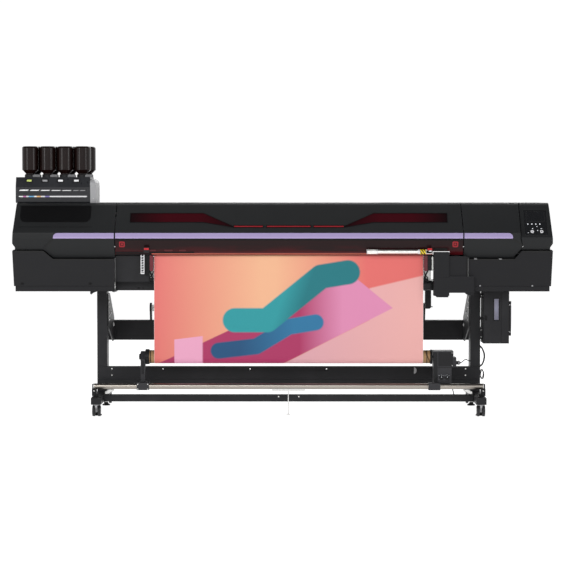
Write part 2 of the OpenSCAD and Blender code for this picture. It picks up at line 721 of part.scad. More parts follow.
module takeup_drive() color(black) difference() {
    union() {
        box(unit_x, unit_x + 118, -300, -180, tube_z + 110, tube_z + 206);
        box(unit_x + 117, unit_x + 136, -290, -200, tube_z + 110, tube_z + 167);
        box(unit_x, unit_x + 107, -300, -200, tube_z - 5, tube_z + 111);
        box(unit_x + 25, unit_x + 88, -303, -299, tube_z + 31, tube_z + 68);
        rod_x(unit_x - 28, unit_x + 1, core_y, core_z, chuck_pin_r);
        rod_x(unit_x + 135, unit_x + 160, core_y, lead_z, 11);
        tube_block(unit_x - 34, unit_x + 36, tube_y - 25, -299, tube_z - 21, tube_z + 20);
    }
    for (x = knob_x) rod_y(x, -304, -286, knob_z, 4 + run);
}

module switch_knob(x) color(black) {
    rod_y(x, -322, -303.4, knob_z, 12);
    box(x - 2.5, x + 2.5, -328, -321, knob_z - 11, knob_z + 11);
    rod_y(x, -304, -288, knob_z, 4);
}

// ---- Waste ink ----

cab_x = [mid_x + leg_x + col_w / 2 + 10, mid_x + leg_x + col_w / 2 + 164];
cab_z = [410, 728];
door_hinge = [cab_x[1] + 6, -155];
level_x = [cab_x[0] + 63, cab_x[0] + 92];

module waste_cabinet() color(black) {
    difference() {
        box(cab_x[0], cab_x[1], -150, 30, cab_z[0], cab_z[1]);
        box(cab_x[0] + 3, cab_x[1] - 3, -151, 27, cab_z[0] + 3, cab_z[1] - 3);
    }
    for (z = [cab_z[0] + 48, cab_z[0] + 235]) {
        box(cab_x[1] - 0.5, door_hinge[0], -150, -140, z, z + 20);
        box(door_hinge[0] - 3, door_hinge[0] + 4, door_hinge[1], -140, z, z + 20);
        rod_z(door_hinge[0], door_hinge[1], z, z + 20, 6);
    }
    rod_z(door_hinge[0], door_hinge[1], cab_z[0] + 48, cab_z[0] + 255, 3);
    for (z = [[20, 92], [138, 154], [270, 296]])
        box(cab_x[0] - 10, cab_x[0] + 1, -60, 10, cab_z[0] + z[0], cab_z[0] + z[1]);
}

module waste_door() color(black) difference() {
    union() {
        box(cab_x[0] + 2, door_hinge[0], -155, -151.5, cab_z[0] + 72, cab_z[0] + 231);
        box(cab_x[0] + 2, cab_x[1] - 4, -155, -151.5, cab_z[0] + 2, cab_z[1] - 2);
        rod_z(door_hinge[0], door_hinge[1], cab_z[0] + 72, cab_z[0] + 231, 6);
    }
    rod_z(door_hinge[0], door_hinge[1], cab_z[0] + 70, cab_z[0] + 233, 3 + run);
    box(level_x[0], level_x[1], -156, -151, cab_z[0] + 142, cab_z[0] + 270);
}

// ---- Cables ----

col_side = mid_x + leg_x + col_w / 2;
col_inner = mid_x + leg_x - col_w / 2;
column_loop = [
    [col_side, -20, 382], [col_side + 6, -20, 382], [col_side + 14, -20, 373], [col_side + 22, -20, 357],
    [col_side + 28, -20, 338], [col_side + 29, -20, 318], [col_side + 25, -20, 296],
    [col_side + 16, -20, 274], [col_side + 6, -20, 265], [col_side, -20, 265]
];
drive_lead = [
    [unit_x + 160, -240, lead_z], [unit_x + 167, -240, lead_z], [unit_x + 177, -234, lead_z + 6],
    [unit_x + 186, -214, lead_z + 12], [unit_x + 194, -186, lead_z + 13],
    [unit_x + 202, -150, lead_z + 12], [unit_x + 210, -110, lead_z + 9],
    [unit_x + 218, -72, lead_z + 4], [unit_x + 226, -42, lead_z - 2], [unit_x + 232, -26, lead_z - 6],
    [col_inner, -26, lead_z - 6]
];

function ahead(p, i) = unit(p[min(i + 1, len(p) - 1)] - p[max(i - 1, 0)]);
function ends_ahead(p, i) = i == 0 ? unit(p[1] - p[0]) : i == len(p) - 1 ? unit(p[i] - p[i - 1]) : ahead(p, i);
function ring(p, i, r, sides) =
    let (d = ends_ahead(p, i))
    let (u = unit(cross(d, abs(d[2]) > 0.9 ? [0, 1, 0] : [0, 0, 1])))
    let (v = cross(d, u))
    [for (k = [0 : sides - 1]) p[i] + r * (u * cos(360 * k / sides) + v * sin(360 * k / sides))];

module cable(p, r, sides = 10) {
    n = len(p);
    points = [for (i = [0 : n - 1]) each ring(p, i, r, sides)];
    skin = [for (i = [0 : n - 2], k = [0 : sides - 1])
        let (a = i * sides + k, b = i * sides + (k + 1) % sides) [a, a + sides, b + sides, b]];
    polyhedron(points, concat([[for (k = [0 : sides - 1]) k]], skin,
        [[for (k = [sides - 1 : -1 : 0]) (n - 1) * sides + k]]), convexity = 4);
}

module held_cables() {
    color(black) cable(column_loop, 5);
    color([0.7, 0.7, 0.7]) cable(drive_lead, 2.5);
}

leg(-1);  // left_leg
leg(1);  // right_leg
gusset(-1);  // left_gusset
gusset(1);  // right_gusset
rear_beam();
lower_crossbeam();
tie_beam();
support_tube();
tube_clamps();
tube_prop();
stand_bolts();
chassis_beam();
side_frames();
lower_cover(-1);  // left_lower_cover
lower_cover(1);  // right_lower_cover
rear_cover();
control_housing();
display_panel();
exit_frame();
platen();
carriage_rail();
drive_cover();
static_bar();
capping_station();
ink_station();
ink_side_housing();
ink_bottles();
takeup_drive();
held_cables();
waste_cabinet();
media_sheet();
supply_brackets();
front_cover();
front_windows();
left_service_cover();
right_service_cover();
carriage();
feed_roller();
pinch_rollers();
takeup_core();
core_chucks();
takeup_arm();
supply_roll();
waste_door();
caster_fork(mid_x - leg_x, caster_y[0]);  // caster_fork_fl
caster_fork(mid_x + leg_x, caster_y[0]);  // caster_fork_fr
caster_fork(mid_x - leg_x, caster_y[1]);  // caster_fork_rl
caster_fork(mid_x + leg_x, caster_y[1]);  // caster_fork_rr
caster_wheels(mid_x - leg_x, caster_y[0]);  // caster_wheels_fl
caster_wheels(mid_x + leg_x, caster_y[0]);  // caster_wheels_fr
caster_wheels(mid_x - leg_x, caster_y[1]);  // caster_wheels_rl
caster_wheels(mid_x + leg_x, caster_y[1]);  // caster_wheels_rr
levelling_foot(mid_x - leg_x, leveller_y[0]);  // levelling_foot_fl
levelling_foot(mid_x + leg_x, leveller_y[0]);  // levelling_foot_fr
levelling_foot(mid_x - leg_x, leveller_y[1]);  // levelling_foot_rl
levelling_foot(mid_x + leg_x, leveller_y[1]);  // levelling_foot_rr
switch_knob(knob_x[0]);  // wind_knob
switch_knob(knob_x[1]);  // direction_knob
push_button(button_x[0]);  // enter_button
push_button(button_x[1]);  // stop_button
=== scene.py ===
"""Roll-fed wide-format printer on a stand: camera, light, materials and fitted pieces round the CAD frame."""
import math

import bmesh
import bpy
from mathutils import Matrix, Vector


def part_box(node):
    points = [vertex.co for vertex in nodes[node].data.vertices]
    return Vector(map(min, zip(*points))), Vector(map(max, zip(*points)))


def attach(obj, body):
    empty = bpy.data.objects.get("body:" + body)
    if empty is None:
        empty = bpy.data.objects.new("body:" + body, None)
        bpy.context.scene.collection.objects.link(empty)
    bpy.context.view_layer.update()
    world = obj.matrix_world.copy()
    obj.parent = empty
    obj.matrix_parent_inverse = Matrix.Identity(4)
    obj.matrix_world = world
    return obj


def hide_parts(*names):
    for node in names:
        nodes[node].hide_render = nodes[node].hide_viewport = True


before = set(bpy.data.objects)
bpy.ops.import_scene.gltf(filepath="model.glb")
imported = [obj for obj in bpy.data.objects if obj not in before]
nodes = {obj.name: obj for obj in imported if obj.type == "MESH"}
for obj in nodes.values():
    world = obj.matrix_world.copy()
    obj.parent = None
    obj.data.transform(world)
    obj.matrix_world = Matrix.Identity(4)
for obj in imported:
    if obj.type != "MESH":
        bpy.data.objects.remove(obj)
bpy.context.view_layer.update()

MM = 0.001


def span(node):
    """The lowest and the highest corner of a CAD node, in mm."""
    low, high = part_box(node)
    return [v / MM for v in low], [v / MM for v in high]


# ---------------------------------------------------------------- places in the frame, in mm

COVER_LOW, COVER_HIGH = span("front_cover")
RIGHT_HIGH = span("right_service_cover")[1]
PANEL_LOW, PANEL_HIGH = span("display_panel")
STATION_LOW, STATION_HIGH = span("ink_station")
SIDE_LOW, SIDE_HIGH = span("ink_side_housing")
TUBE_LOW, TUBE_HIGH = span("support_tube")
MEDIA_LOW, MEDIA_HIGH = span("media_sheet")
CABINET_LOW, CABINET_HIGH = span("waste_cabinet")
DOOR_HIGH = span("waste_door")[1]
CORE_LOW, CORE_HIGH = span("takeup_core")
CARRIAGE_LOW, CARRIAGE_HIGH = span("carriage")
REAR_HIGH = span("rear_cover")[1]
LOWER_LEFT_LOW, LOWER_LEFT_HIGH = span("left_lower_cover")
LOWER_RIGHT_LOW, LOWER_RIGHT_HIGH = span("right_lower_cover")

MID_X = (TUBE_LOW[0] + TUBE_HIGH[0]) / 2
TOP_Z = COVER_HIGH[2]
NOSE_Y = COVER_LOW[1]
SLOPE_Y = NOSE_Y + 140
NOSE_TOP = TOP_Z - 176
NOSE_LOW = TOP_Z - 211
WAIST_Z = TOP_Z - 276
WINDOW_Z = TOP_Z - 307
COVER_Z = TOP_Z - 324
BASE_Z = TOP_Z - 523
PLATEN_Z = BASE_Z + 215
HALF_W = LOWER_RIGHT_HIGH[0]
SEAM_L = COVER_LOW[0] - 2
SEAM_R = COVER_HIGH[0] + 2
SEAM_C = RIGHT_HIGH[0] + 2
LEG_X = 1130
LEVEL_X = MID_X + LEG_X + 40
COLUMN_HALF = 30
EXIT_Y = -294
BAR_Y = -327
BAR_END_Y = -341
DRIVE_FACE_Y = -300
DOOR_FACE_Y = -155
CHASSIS_FACE_Y = -200
CROSSBEAM_FACE_Y = -58
RAIL_Z = BASE_Z + 315
CORE_Y = (CORE_LOW[1] + CORE_HIGH[1]) / 2
CORE_Z = (CORE_LOW[2] + CORE_HIGH[2]) / 2
CORE_R = (CORE_HIGH[2] - CORE_LOW[2]) / 2

SLOPE = Vector((SLOPE_Y - NOSE_Y, TOP_Z - NOSE_TOP)).normalized()
TUCK = 0.3125
TUCK_NORMAL = Vector((1, TUCK)).normalized()
HOUSING = Vector((SLOPE_Y - NOSE_Y, TOP_Z - BASE_Z - 320)).normalized()


def on_slope(x, z, out):
    """A point on the covers' upper slope, given by its front view."""
    y = SLOPE_Y - (TOP_Z - z) * SLOPE.x / SLOPE.y
    return (x, y - out * SLOPE.y, z + out * SLOPE.x)


def on_tuck(x, z, out):
    """A point on the face that tucks back under the nose."""
    y = NOSE_Y + (NOSE_LOW - z) * TUCK
    return (x, y - out * TUCK_NORMAL.x, z - out * TUCK_NORMAL.y)


def on_panel(x, up, out):
    """A point on the control housing's slope, measured up the slope from its top edge."""
    return (x, SLOPE_Y + up * HOUSING.x - out * HOUSING.y, TOP_Z + up * HOUSING.y + out * HOUSING.x)


def on_front(y):
    return lambda x, z, out: (x, y - out, z)


def on_back(y):
    return lambda x, z, out: (x, y + out, z)


def on_side(x, sign):
    return lambda y, z, out: (x + sign * out, y, z)


def on_top(z):
    return lambda x, y, out: (x, y, z + out)


# ---------------------------------------------------------------- camera, light and floor

LENS = 131.4
CAMERA_AWAY, CAMERA_HIGH = 12.475, 1.332    # metres
CAMERA_DOWN, CAMERA_TURN = 2.55, 0.2        # degrees


def add_camera():
    data = bpy.data.cameras.new("camera")
    data.sensor_width = 36
    data.lens = LENS
    data.clip_end = 200
    camera = bpy.data.objects.new("camera", data)
    camera.location = (MID_X * MM, -CAMERA_AWAY, CAMERA_HIGH)
    camera.rotation_euler = (math.radians(90 - CAMERA_DOWN), 0, math.radians(CAMERA_TURN))
    bpy.context.scene.collection.objects.link(camera)
    bpy.context.scene.camera = camera


def area_light(name, place, aim, size, power):
    data = bpy.data.lights.new(name, "AREA")
    data.shape = "RECTANGLE"
    data.size, data.size_y = size
    data.energy = power
    light = bpy.data.objects.new(name, data)
    light.location = place
    light.rotation_euler = (Vector(aim) - Vector(place)).to_track_quat("-Z", "Y").to_euler()
    bpy.context.scene.collection.objects.link(light)


def add_lights():
    area_light("front_softbox", (-1.5, -8.0, 4.2), (0, 0, 0.8), (5.0, 2.4), 215)
    area_light("right_softbox", (5.5, -5.0, 2.6), (0.3, 0, 0.8), (1.2, 3.2), 80)
    area_light("left_softbox", (-5.5, -5.0, 2.6), (-0.3, 0, 0.8), (1.2, 3.2), 80)
    area_light("overhead_softbox", (0, 0.9, 3.8), (0, -0.1, 1.2), (4.6, 1.0), 55)
    area_light("rear_softbox", (1.5, 7.0, 4.0), (0, 0, 0.8), (5.0, 2.4), 150)


def add_sky():
    """A white wall of light all round, up to a little above the horizon, under a darker ceiling."""
    world = bpy.data.worlds.new("studio")
    world.use_nodes = True
    bpy.context.scene.world = world
    tree = world.node_tree
    coords = tree.nodes.new("ShaderNodeTexCoord")
    split = tree.nodes.new("ShaderNodeSeparateXYZ")
    tree.links.new(coords.outputs["Generated"], split.inputs[0])
    shade = tree.nodes.new("ShaderNodeValToRGB")
    stops = shade.color_ramp.elements
    stops[0].position, stops[0].color = 0.20, (1.02, 1.02, 1.02, 1)
    stops[1].position, stops[1].color = 0.45, (0.10, 0.10, 0.105, 1)
    tree.links.new(split.outputs[2], shade.inputs[0])
    tree.links.new(shade.outputs[0], tree.nodes["Background"].inputs["Color"])


# ---------------------------------------------------------------- materials

def tint(red, green, blue):
    """A colour given as 0 to 255 display values, in the linear values that shaders use."""
    return tuple((c / 255 / 12.92) if c < 10.3 else ((c / 255 + 0.055) / 1.055) ** 2.4 for c in (red, green, blue))


class Paint:
    """A node material in the making, with short calls for the nodes that it needs."""

    def __init__(self, name):
        self.material = bpy.data.materials.new(name)
        self.material.use_nodes = True
        self.tree = self.material.node_tree
        self.shader = self.tree.nodes["Principled BSDF"]
        self.point = self.tree.nodes.new("ShaderNodeTexCoord").outputs["Object"]
        split = self.tree.nodes.new("ShaderNodeSeparateXYZ")
        self.tree.links.new(self.point, split.inputs[0])
        self.x, self.y, self.z = split.outputs

    def feed(self, target, value):
        if isinstance(value, bpy.types.NodeSocket):
            self.tree.links.new(value, target)
        elif isinstance(value, tuple) and len(value) == 3 and len(target.default_value) == 4:
            target.default_value = (*value, 1)
        else:
            target.default_value = value

    def set(self, **values):
        """Shader sockets by name, with spaces as underscores."""
        for name, value in values.items():
            self.feed(self.shader.inputs[name.replace("_", " ")], value)
        return self

    def math(self, operation, *values):
        node = self.tree.nodes.new("ShaderNodeMath")
        node.operation = operation
        for target, value in zip(node.inputs, values):
            self.feed(target, value)
        return node.outputs[0]

    def plus(self, first, second):
        return self.math("ADD", first, second)

    def minus(self, first, second):
        return self.math("SUBTRACT", first, second)

    def times(self, first, second):
        return self.math("MULTIPLY", first, second)

    def step(self, value, edge, soft):
        """0 below edge and 1 above it, over a width of soft."""
        node = self.tree.nodes.new("ShaderNodeMapRange")
        for name, part in (("Value", value), ("From Min", edge - soft / 2), ("From Max", edge + soft / 2)):
            self.feed(node.inputs[name], part)
        return node.outputs["Result"]

    def band(self, value, low, high, soft):
        return self.times(self.step(value, low, soft),
                         self.minus(1.0, self.step(value, high, soft)))

    def scaled(self, value, low, high):
        node = self.tree.nodes.new("ShaderNodeMapRange")
        for name, part in (("Value", value), ("To Min", low), ("To Max", high)):
            self.feed(node.inputs[name], part)
        return node.outputs["Result"]

    def noise(self, scale, detail=3.0, stretch=(1, 1, 1)):
        mapping = self.tree.nodes.new("ShaderNodeMapping")
        mapping.inputs["Scale"].default_value = stretch
        self.tree.links.new(self.point, mapping.inputs["Vector"])
        node = self.tree.nodes.new("ShaderNodeTexNoise")
        node.inputs["Scale"].default_value = scale
        node.inputs["Detail"].default_value = detail
        self.tree.links.new(mapping.outputs[0], node.inputs["Vector"])
        return node.outputs["Fac"]

    def mix(self, factor, first, second):
        node = self.tree.nodes.new("ShaderNodeMix")
        node.data_type = "RGBA"
        colours = [s for s in node.inputs if s.type == "RGBA"]
        self.feed(node.inputs["Factor"], factor)
        self.feed(colours[0], first)
        self.feed(colours[1], second)
        return next(s for s in node.outputs if s.type == "RGBA")

    def bump(self, height, strength, distance):
        node = self.tree.nodes.new("ShaderNodeBump")
        node.inputs["Strength"].default_value = strength
        node.inputs["Distance"].default_value = distance
        self.feed(node.inputs["Height"], height)
        self.feed(self.shader.inputs["Normal"], node.outputs["Normal"])
        return self


def moulded(name, colour, rough=0.45, specular=0.25, spread=0.12, grain=700.0, depth=0.00015, coat=0.0):
    """Moulded plastic: a fine texture, faint clouds of colour and slightly uneven gloss."""
    paint = Paint(name)
    base = paint.mix(paint.scaled(paint.noise(2.2), 0.2, 0.8), tuple(c * (1 - spread) for c in colour),
                     tuple(c * (1 + spread) for c in colour))
    paint.set(Base_Color=base, Roughness=paint.scaled(paint.noise(9.0), rough - 0.06, rough + 0.06),
              Specular_IOR_Level=specular, Coat_Weight=coat)
    paint.bump(paint.noise(grain, 2.0), 0.35, depth)
    return paint.material


def coated(name, colour, rough=0.42, specular=0.3):
    """Powder coat on steel: orange peel in the gloss, and a trace of dust."""
    paint = Paint(name)
    base = paint.mix(paint.step(paint.noise(5.0, 6.0), 0.62, 0.25), colour, tuple(c * 1.35 + 0.002 for c in colour))
    paint.set(Base_Color=base, Roughness=paint.scaled(paint.noise(40.0), rough - 0.08, rough + 0.08),
              Specular_IOR_Level=specular)
    paint.bump(paint.noise(420.0, 1.0), 0.3, 0.0002)
    return paint.material


def metal(name, colour, rough=0.3, along=(0.02, 1, 1), grain=260.0):
    """Drawn or brushed metal, with its lines along one axis."""
    paint = Paint(name)
    lines = paint.noise(grain, 4.0, along)
    base = paint.mix(lines, tuple(c * 0.82 for c in colour), tuple(min(1, c * 1.12) for c in colour))
    paint.set(Base_Color=base, Metallic=1.0, Roughness=paint.scaled(lines, rough - 0.08, rough + 0.12))
    paint.bump(lines, 0.15, 0.0001)
    return paint.material


def rubber(name, colour):
    paint = Paint(name)
    base = paint.mix(paint.noise(30.0), tuple(c * 0.8 for c in colour), tuple(c * 1.4 for c in colour))
    paint.set(Base_Color=base, Roughness=paint.scaled(paint.noise(60.0), 0.55, 0.75), Specular_IOR_Level=0.3)
    paint.bump(paint.noise(900.0, 2.0), 0.4, 0.0002)
    return paint.material


def lit(name, colour, strength, base=None):
    """Coloured trim with a faint painted glow from emission, uneven along its length."""
    paint = Paint(name)
    hue = paint.mix(paint.noise(14.0), tuple(c * 0.75 for c in colour), colour)
    paint.set(Base_Color=hue if base is None else base, Roughness=0.35, Emission_Color=hue,
              Emission_Strength=strength, Specular_IOR_Level=0.3)
    return paint.material


def lavender_strip():
    """Satin lavender strip with a faint painted glow from emission, paler along its lower edge."""
    paint = Paint("lavender_strip_glow")
    rise = paint.step(paint.z, (NOSE_LOW + 9) * MM, 0.012)
    hue = paint.mix(rise, tint(158, 142, 186), tint(134, 120, 162))
    hue = paint.mix(paint.scaled(paint.noise(1.6), 0.0, 0.25), hue, tint(176, 162, 196))
    paint.set(Base_Color=hue, Roughness=paint.scaled(paint.noise(20.0), 0.3, 0.42), Specular_IOR_Level=0.4,
              Emission_Color=hue, Emission_Strength=0.05, Coat_Weight=0.15)
    return paint.material


def smoked_window():
    """Dark red acrylic; the slots fade to black at both ends, and light spills up in patches from below."""
    paint = Paint("smoked_acrylic")
    away = paint.math("ABSOLUTE", paint.minus(paint.x, MID_X * MM))
    ends = paint.times(paint.step(away, 0.42, 0.24), paint.minus(1.0, paint.step(away, 0.84, 0.22)))
    slot = paint.times(paint.step(paint.z, (NOSE_TOP + 20) * MM, 0.01), ends)
    glow = paint.times(paint.step(paint.noise(5.0, 2.0, (1, 1, 4)), 0.50, 0.25),
                      paint.minus(1.0, paint.step(paint.z, (WINDOW_Z + 34) * MM, 0.05)))
    above = paint.step(paint.z, (NOSE_TOP + 10) * MM, 0.01)
    hue = paint.mix(above, tint(32, 18, 19), tint(18, 10, 12))
    hue = paint.mix(slot, hue, tint(56, 9, 17))
    hue = paint.mix(paint.times(glow, 0.6), hue, tint(84, 10, 18))
    paint.set(Base_Color=hue, Roughness=paint.scaled(paint.noise(6.0), 0.14, 0.24), Specular_IOR_Level=0.12,
              Coat_Weight=0.04)
    return paint.material


def bottle_brown():
    paint = Paint("bottle_brown")
    hue = paint.mix(paint.noise(12.0), tint(13, 6, 5), tint(24, 10, 8))
    paint.set(Base_Color=hue, Roughness=paint.scaled(paint.noise(25.0), 0.16, 0.24), Specular_IOR_Level=0.2,
              Coat_Weight=0.02)
    return paint.material


def cardboard():
    """Wound kraft tube: a slow spiral seam and coarse fibre."""
    paint = Paint("kraft_board")
    spiral = paint.math("SINE", paint.plus(paint.times(paint.x, 70.0),
                                          paint.times(paint.z, 30.0)))
    hue = paint.mix(paint.noise(180.0, 5.0, (0.3, 1, 1)), tint(128, 98, 66), tint(166, 134, 98))
    hue = paint.mix(paint.step(spiral, 0.96, 0.05), hue, tint(96, 72, 48))
    paint.set(Base_Color=hue, Roughness=0.85, Specular_IOR_Level=0.2)
    paint.bump(paint.noise(400.0, 4.0), 0.4, 0.0003)
    return paint.material


def blank_media():
    paint = Paint("blank_media")
    hue = paint.mix(paint.noise(3.0), tint(232, 232, 230), tint(244, 244, 242))
    paint.set(Base_Color=hue, Roughness=paint.scaled(paint.noise(30.0), 0.5, 0.62), Specular_IOR_Level=0.3)
    paint.bump(paint.noise(600.0, 2.0), 0.1, 0.0001)
    return paint.material


def printed_media():
    """A made-up poster: a warm ground, a pale floor, a rose mat, and teal and blue ribbons, on white film."""
    ratio = (PLATEN_Z - CORE_Z + CORE_R) / (MEDIA_HIGH[0] - MEDIA_LOW[0])
    paint = Paint("printed_film")
    width = (MEDIA_HIGH[0] - MEDIA_LOW[0]) * MM
    u = paint.math("DIVIDE", paint.minus(paint.x, MEDIA_LOW[0] * MM), width)
    v = paint.math("DIVIDE", paint.minus(paint.z, (CORE_Z - CORE_R) * MM), (PLATEN_Z - CORE_Z + CORE_R) * MM)

    def line(rise, start):
        """How far a point is above the line v = start + rise * u."""
        return paint.minus(v, paint.plus(paint.times(u, rise), start))

    def both(*masks):
        made = masks[0]
        for mask in masks[1:]:
            made = paint.times(made, mask)
        return made

    def under(value, edge, soft=0.006):
        return paint.minus(1.0, paint.step(value, edge, soft))

    def beside(a, b):
        """How far a point is to the left of the line from a to b, in widths of the web."""
        (x0, y0), (x1, y1) = a, b
        size = math.hypot(x1 - x0, (y1 - y0) * ratio)
        along = paint.times(paint.minus(v, y0), (x1 - x0) * ratio / size)
        return paint.minus(along, paint.times(paint.minus(u, x0),
                                                        (y1 - y0) * ratio / size))

    def stroke_of(a, b, half):
        """A band with round ends from a to b."""
        (x0, y0), (x1, y1) = a, b
        dx, dy = x1 - x0, (y1 - y0) * ratio
        px = paint.minus(u, x0)
        py = paint.times(paint.minus(v, y0), ratio)
        along = paint.math("DIVIDE", paint.plus(paint.times(px, dx), paint.times(py, dy)),
                           dx * dx + dy * dy)
        along = paint.math("MINIMUM", paint.math("MAXIMUM", along, 0.0), 1.0)
        ex = paint.minus(px, paint.times(along, dx))
        ey = paint.minus(py, paint.times(along, dy))
        return under(paint.math("SQRT", paint.plus(paint.times(ex, ex),
                                                   paint.times(ey, ey))), half)

    def any_of(masks):
        made = masks[0]
        for mask in masks[1:]:
            made = paint.math("MAXIMUM", made, mask)
        return made

    warm = paint.step(u, 0.20, 0.40)
    hue = paint.mix(warm, tint(208, 106, 102), tint(222, 168, 132))
    hue = paint.mix(paint.step(u, 0.62, 0.34), hue, tint(208, 100, 96))
    pale = paint.mix(paint.step(u, 0.70, 0.5), tint(200, 150, 160), tint(216, 160, 156))
    floor_mask = any_of([both(paint.step(u, 0.80, 0.004), under(beside((0.80, 0.693), (1.0, 0.81)), 0.0)),
                         both(paint.step(u, 0.40, 0.004), under(beside((0.48, 0.0), (0.887, 0.512)), 0.0))])
    hue = paint.mix(floor_mask, hue, pale)
    mat = both(paint.step(beside((0.48, 0.0), (0.887, 0.512)), 0.0, 0.004),
               under(beside((0.728, 0.83), (0.887, 0.512)), 0.0, 0.004),
               under(beside((0.10, 0.10), (0.728, 0.83)), 0.0, 0.004))
    rose = paint.mix(paint.step(u, 0.62, 0.16), tint(158, 44, 88), tint(204, 128, 164))
    hue = paint.mix(mat, hue, rose)
    corner = both(paint.step(u, 0.075, 0.003), under(u, 0.18), under(line(0.3, 0.20), 0.0))
    hue = paint.mix(corner, hue, tint(216, 152, 180))
    blue = any_of([stroke_of((0.24, 0.12), (0.38, 0.16), 0.03), stroke_of((0.38, 0.16), (0.50, 0.34), 0.03),
                   stroke_of((0.50, 0.34), (0.60, 0.38), 0.03)])
    hue = paint.mix(blue, hue, paint.mix(paint.step(u, 0.42, 0.2), tint(22, 72, 112), tint(36, 106, 146)))
    teal = any_of([stroke_of((0.30, 0.40), (0.42, 0.40), 0.045), stroke_of((0.42, 0.40), (0.52, 0.60), 0.045),
                   stroke_of((0.52, 0.60), (0.62, 0.80), 0.045), stroke_of((0.62, 0.80), (0.72, 0.84), 0.045)])
    shade = paint.mix(paint.step(beside((0.46, 0.2), (0.56, 0.9)), 0.0, 0.08), tint(18, 108, 116), tint(36, 140, 146))
    hue = paint.mix(teal, hue, shade)
    facing = paint.tree.nodes.new("ShaderNodeSeparateXYZ")
    paint.tree.links.new(paint.tree.nodes.new("ShaderNodeNewGeometry").outputs["Normal"], facing.inputs[0])
    edge = both(paint.step(u, 0.0006, 0.0006), under(u, 0.9994, 0.0006), under(paint.y, -0.10, 0.002),
                under(facing.outputs[1], 0.3, 0.1))
    hue = paint.mix(edge, tint(228, 228, 226), hue)
    paint.set(Base_Color=hue, Roughness=paint.scaled(paint.noise(14.0), 0.38, 0.5), Specular_IOR_Level=0.3)
    paint.bump(paint.noise(500.0, 2.0), 0.1, 0.0001)
    return paint.material


def hazard_tape():
    paint = Paint("hazard_tape")
    slant = paint.math("SINE", paint.plus(paint.times(paint.x, 420.0),
                                         paint.times(paint.z, 300.0)))
    hue = paint.mix(paint.step(slant, -0.1, 0.1), tint(24, 22, 20), tint(226, 196, 40))
    paint.set(Base_Color=hue, Roughness=paint.scaled(paint.noise(50.0), 0.4, 0.55), Specular_IOR_Level=0.35)
    return paint.material


def ink_labels():
    """A white label strip whose left half carries one colour patch for each ink."""
    paint = Paint("ink_labels")
    patches = [(-1556, -1536, tint(170, 90, 150)), (-1522, -1490, tint(90, 150, 190)),
               (-1474, -1448, tint(210, 160, 100)), (-1424, -1396, tint(110, 100, 160))]
    hue = paint.mix(paint.noise(20.0), tint(190, 190, 194), tint(222, 222, 222))
    for low, high, colour in patches:
        hue = paint.mix(paint.band(paint.x, low * MM, high * MM, 0.004), hue, colour)
    paint.set(Base_Color=hue, Roughness=paint.scaled(paint.noise(40.0), 0.35, 0.5))
    return paint.material


def red_acrylic():
    paint = Paint("red_acrylic")
    hue = paint.mix(paint.noise(18.0), tint(74, 10, 22), tint(110, 20, 36))
    paint.set(Base_Color=hue, Roughness=paint.scaled(paint.noise(12.0), 0.1, 0.2), Specular_IOR_Level=0.4,
              Coat_Weight=0.2)
    return paint.material


def level_window():
    """Milky tank wall, a little darker where the ink stands behind it."""
    paint = Paint("milky_tank")
    hue = paint.mix(paint.step(paint.z, 0.60, 0.05), tint(98, 95, 112), tint(118, 115, 132))
    hue = paint.mix(paint.scaled(paint.noise(30.0), 0.0, 0.3), hue, tint(140, 138, 154))
    paint.set(Base_Color=hue, Roughness=0.35, Subsurface_Weight=0.1)
    return paint.material


CHARCOAL = moulded("charcoal_cover", tint(31, 32, 33), specular=0.16)
LOWER_CHARCOAL = moulded("charcoal_lower", tint(29, 29, 31), rough=0.5, specular=0.14)
DARK_PANEL = moulded("dark_panel", tint(12, 12, 13), rough=0.34, specular=0.15)
DARK_PLASTIC = moulded("dark_plastic", tint(26, 26, 28), specular=0.2)
MID_PLASTIC = moulded("mid_grey_plastic", tint(44, 44, 47), specular=0.25)
GREY_PLASTIC = moulded("grey_plastic", tint(146, 146, 148), rough=0.4, specular=0.4)
PALE_PLASTIC = moulded("pale_plastic", tint(208, 208, 210), rough=0.38, specular=0.45)
HUB_GREY = moulded("hub_grey", tint(150, 150, 152), rough=0.35, specular=0.45)
BLACK_PAINT = coated("black_powder_coat", tint(31, 31, 33), specular=0.16)
FASCIA = coated("fascia_coat", tint(34, 35, 38), rough=0.3, specular=0.28)
STEEL = metal("drawn_steel", tint(162, 156, 148), rough=0.28)
BRIGHT = metal("bright_zinc", tint(214, 214, 212), rough=0.25, along=(1, 1, 1), grain=120)
RAIL = metal("anodised_rail", tint(150, 150, 154), rough=0.35)
ROLLER = metal("gritted_roller", tint(120, 120, 124), rough=0.5, along=(1, 1, 1), grain=900)
SILVER = metal("satin_silver", tint(232, 232, 228), rough=0.42)
HUB_DARK = moulded("switch_grey", tint(66, 66, 70), specular=0.25)
HUB_MID = moulded("lever_grey", tint(104, 104, 106), specular=0.3)
RUBBER = rubber("black_rubber", tint(16, 16, 16))
TREAD = rubber("wheel_tread", tint(34, 34, 36))
JACKET = rubber("cable_jacket", tint(28, 28, 30))
LAVENDER = lavender_strip()
SMOKED = smoked_window()
BROWN = bottle_brown()
KRAFT = cardboard()
BLANK = blank_media()
PRINT = printed_media()
HAZARD = hazard_tape()
INK_LABELS = ink_labels()
ACRYLIC = red_acrylic()
TANK = level_window()
RED_TRIM = lit("red_trim", tint(140, 22, 32), 0.2)
RED_CAP = lit("red_cap", tint(170, 26, 34), 0.2)
# A salmon line of painted highlight along the window's lower edge.
WINDOW_EDGE_HIGHLIGHT = lit("window_edge_highlight", tint(176, 88, 72), 0.12)
RED_DIM = lit("red_dim", tint(72, 12, 18), 0.08)
ICON_WHITE = lit("icon_white", tint(225, 228, 232), 0.3)
SCREEN = moulded("display_glass", tint(20, 21, 23), rough=0.14, specular=0.5, coat=0.5)
WHITE_LABEL = lit("white_label", tint(232, 232, 234), 0.12)
LIME_LABEL = lit("lime_label", tint(200, 214, 120), 0.1)


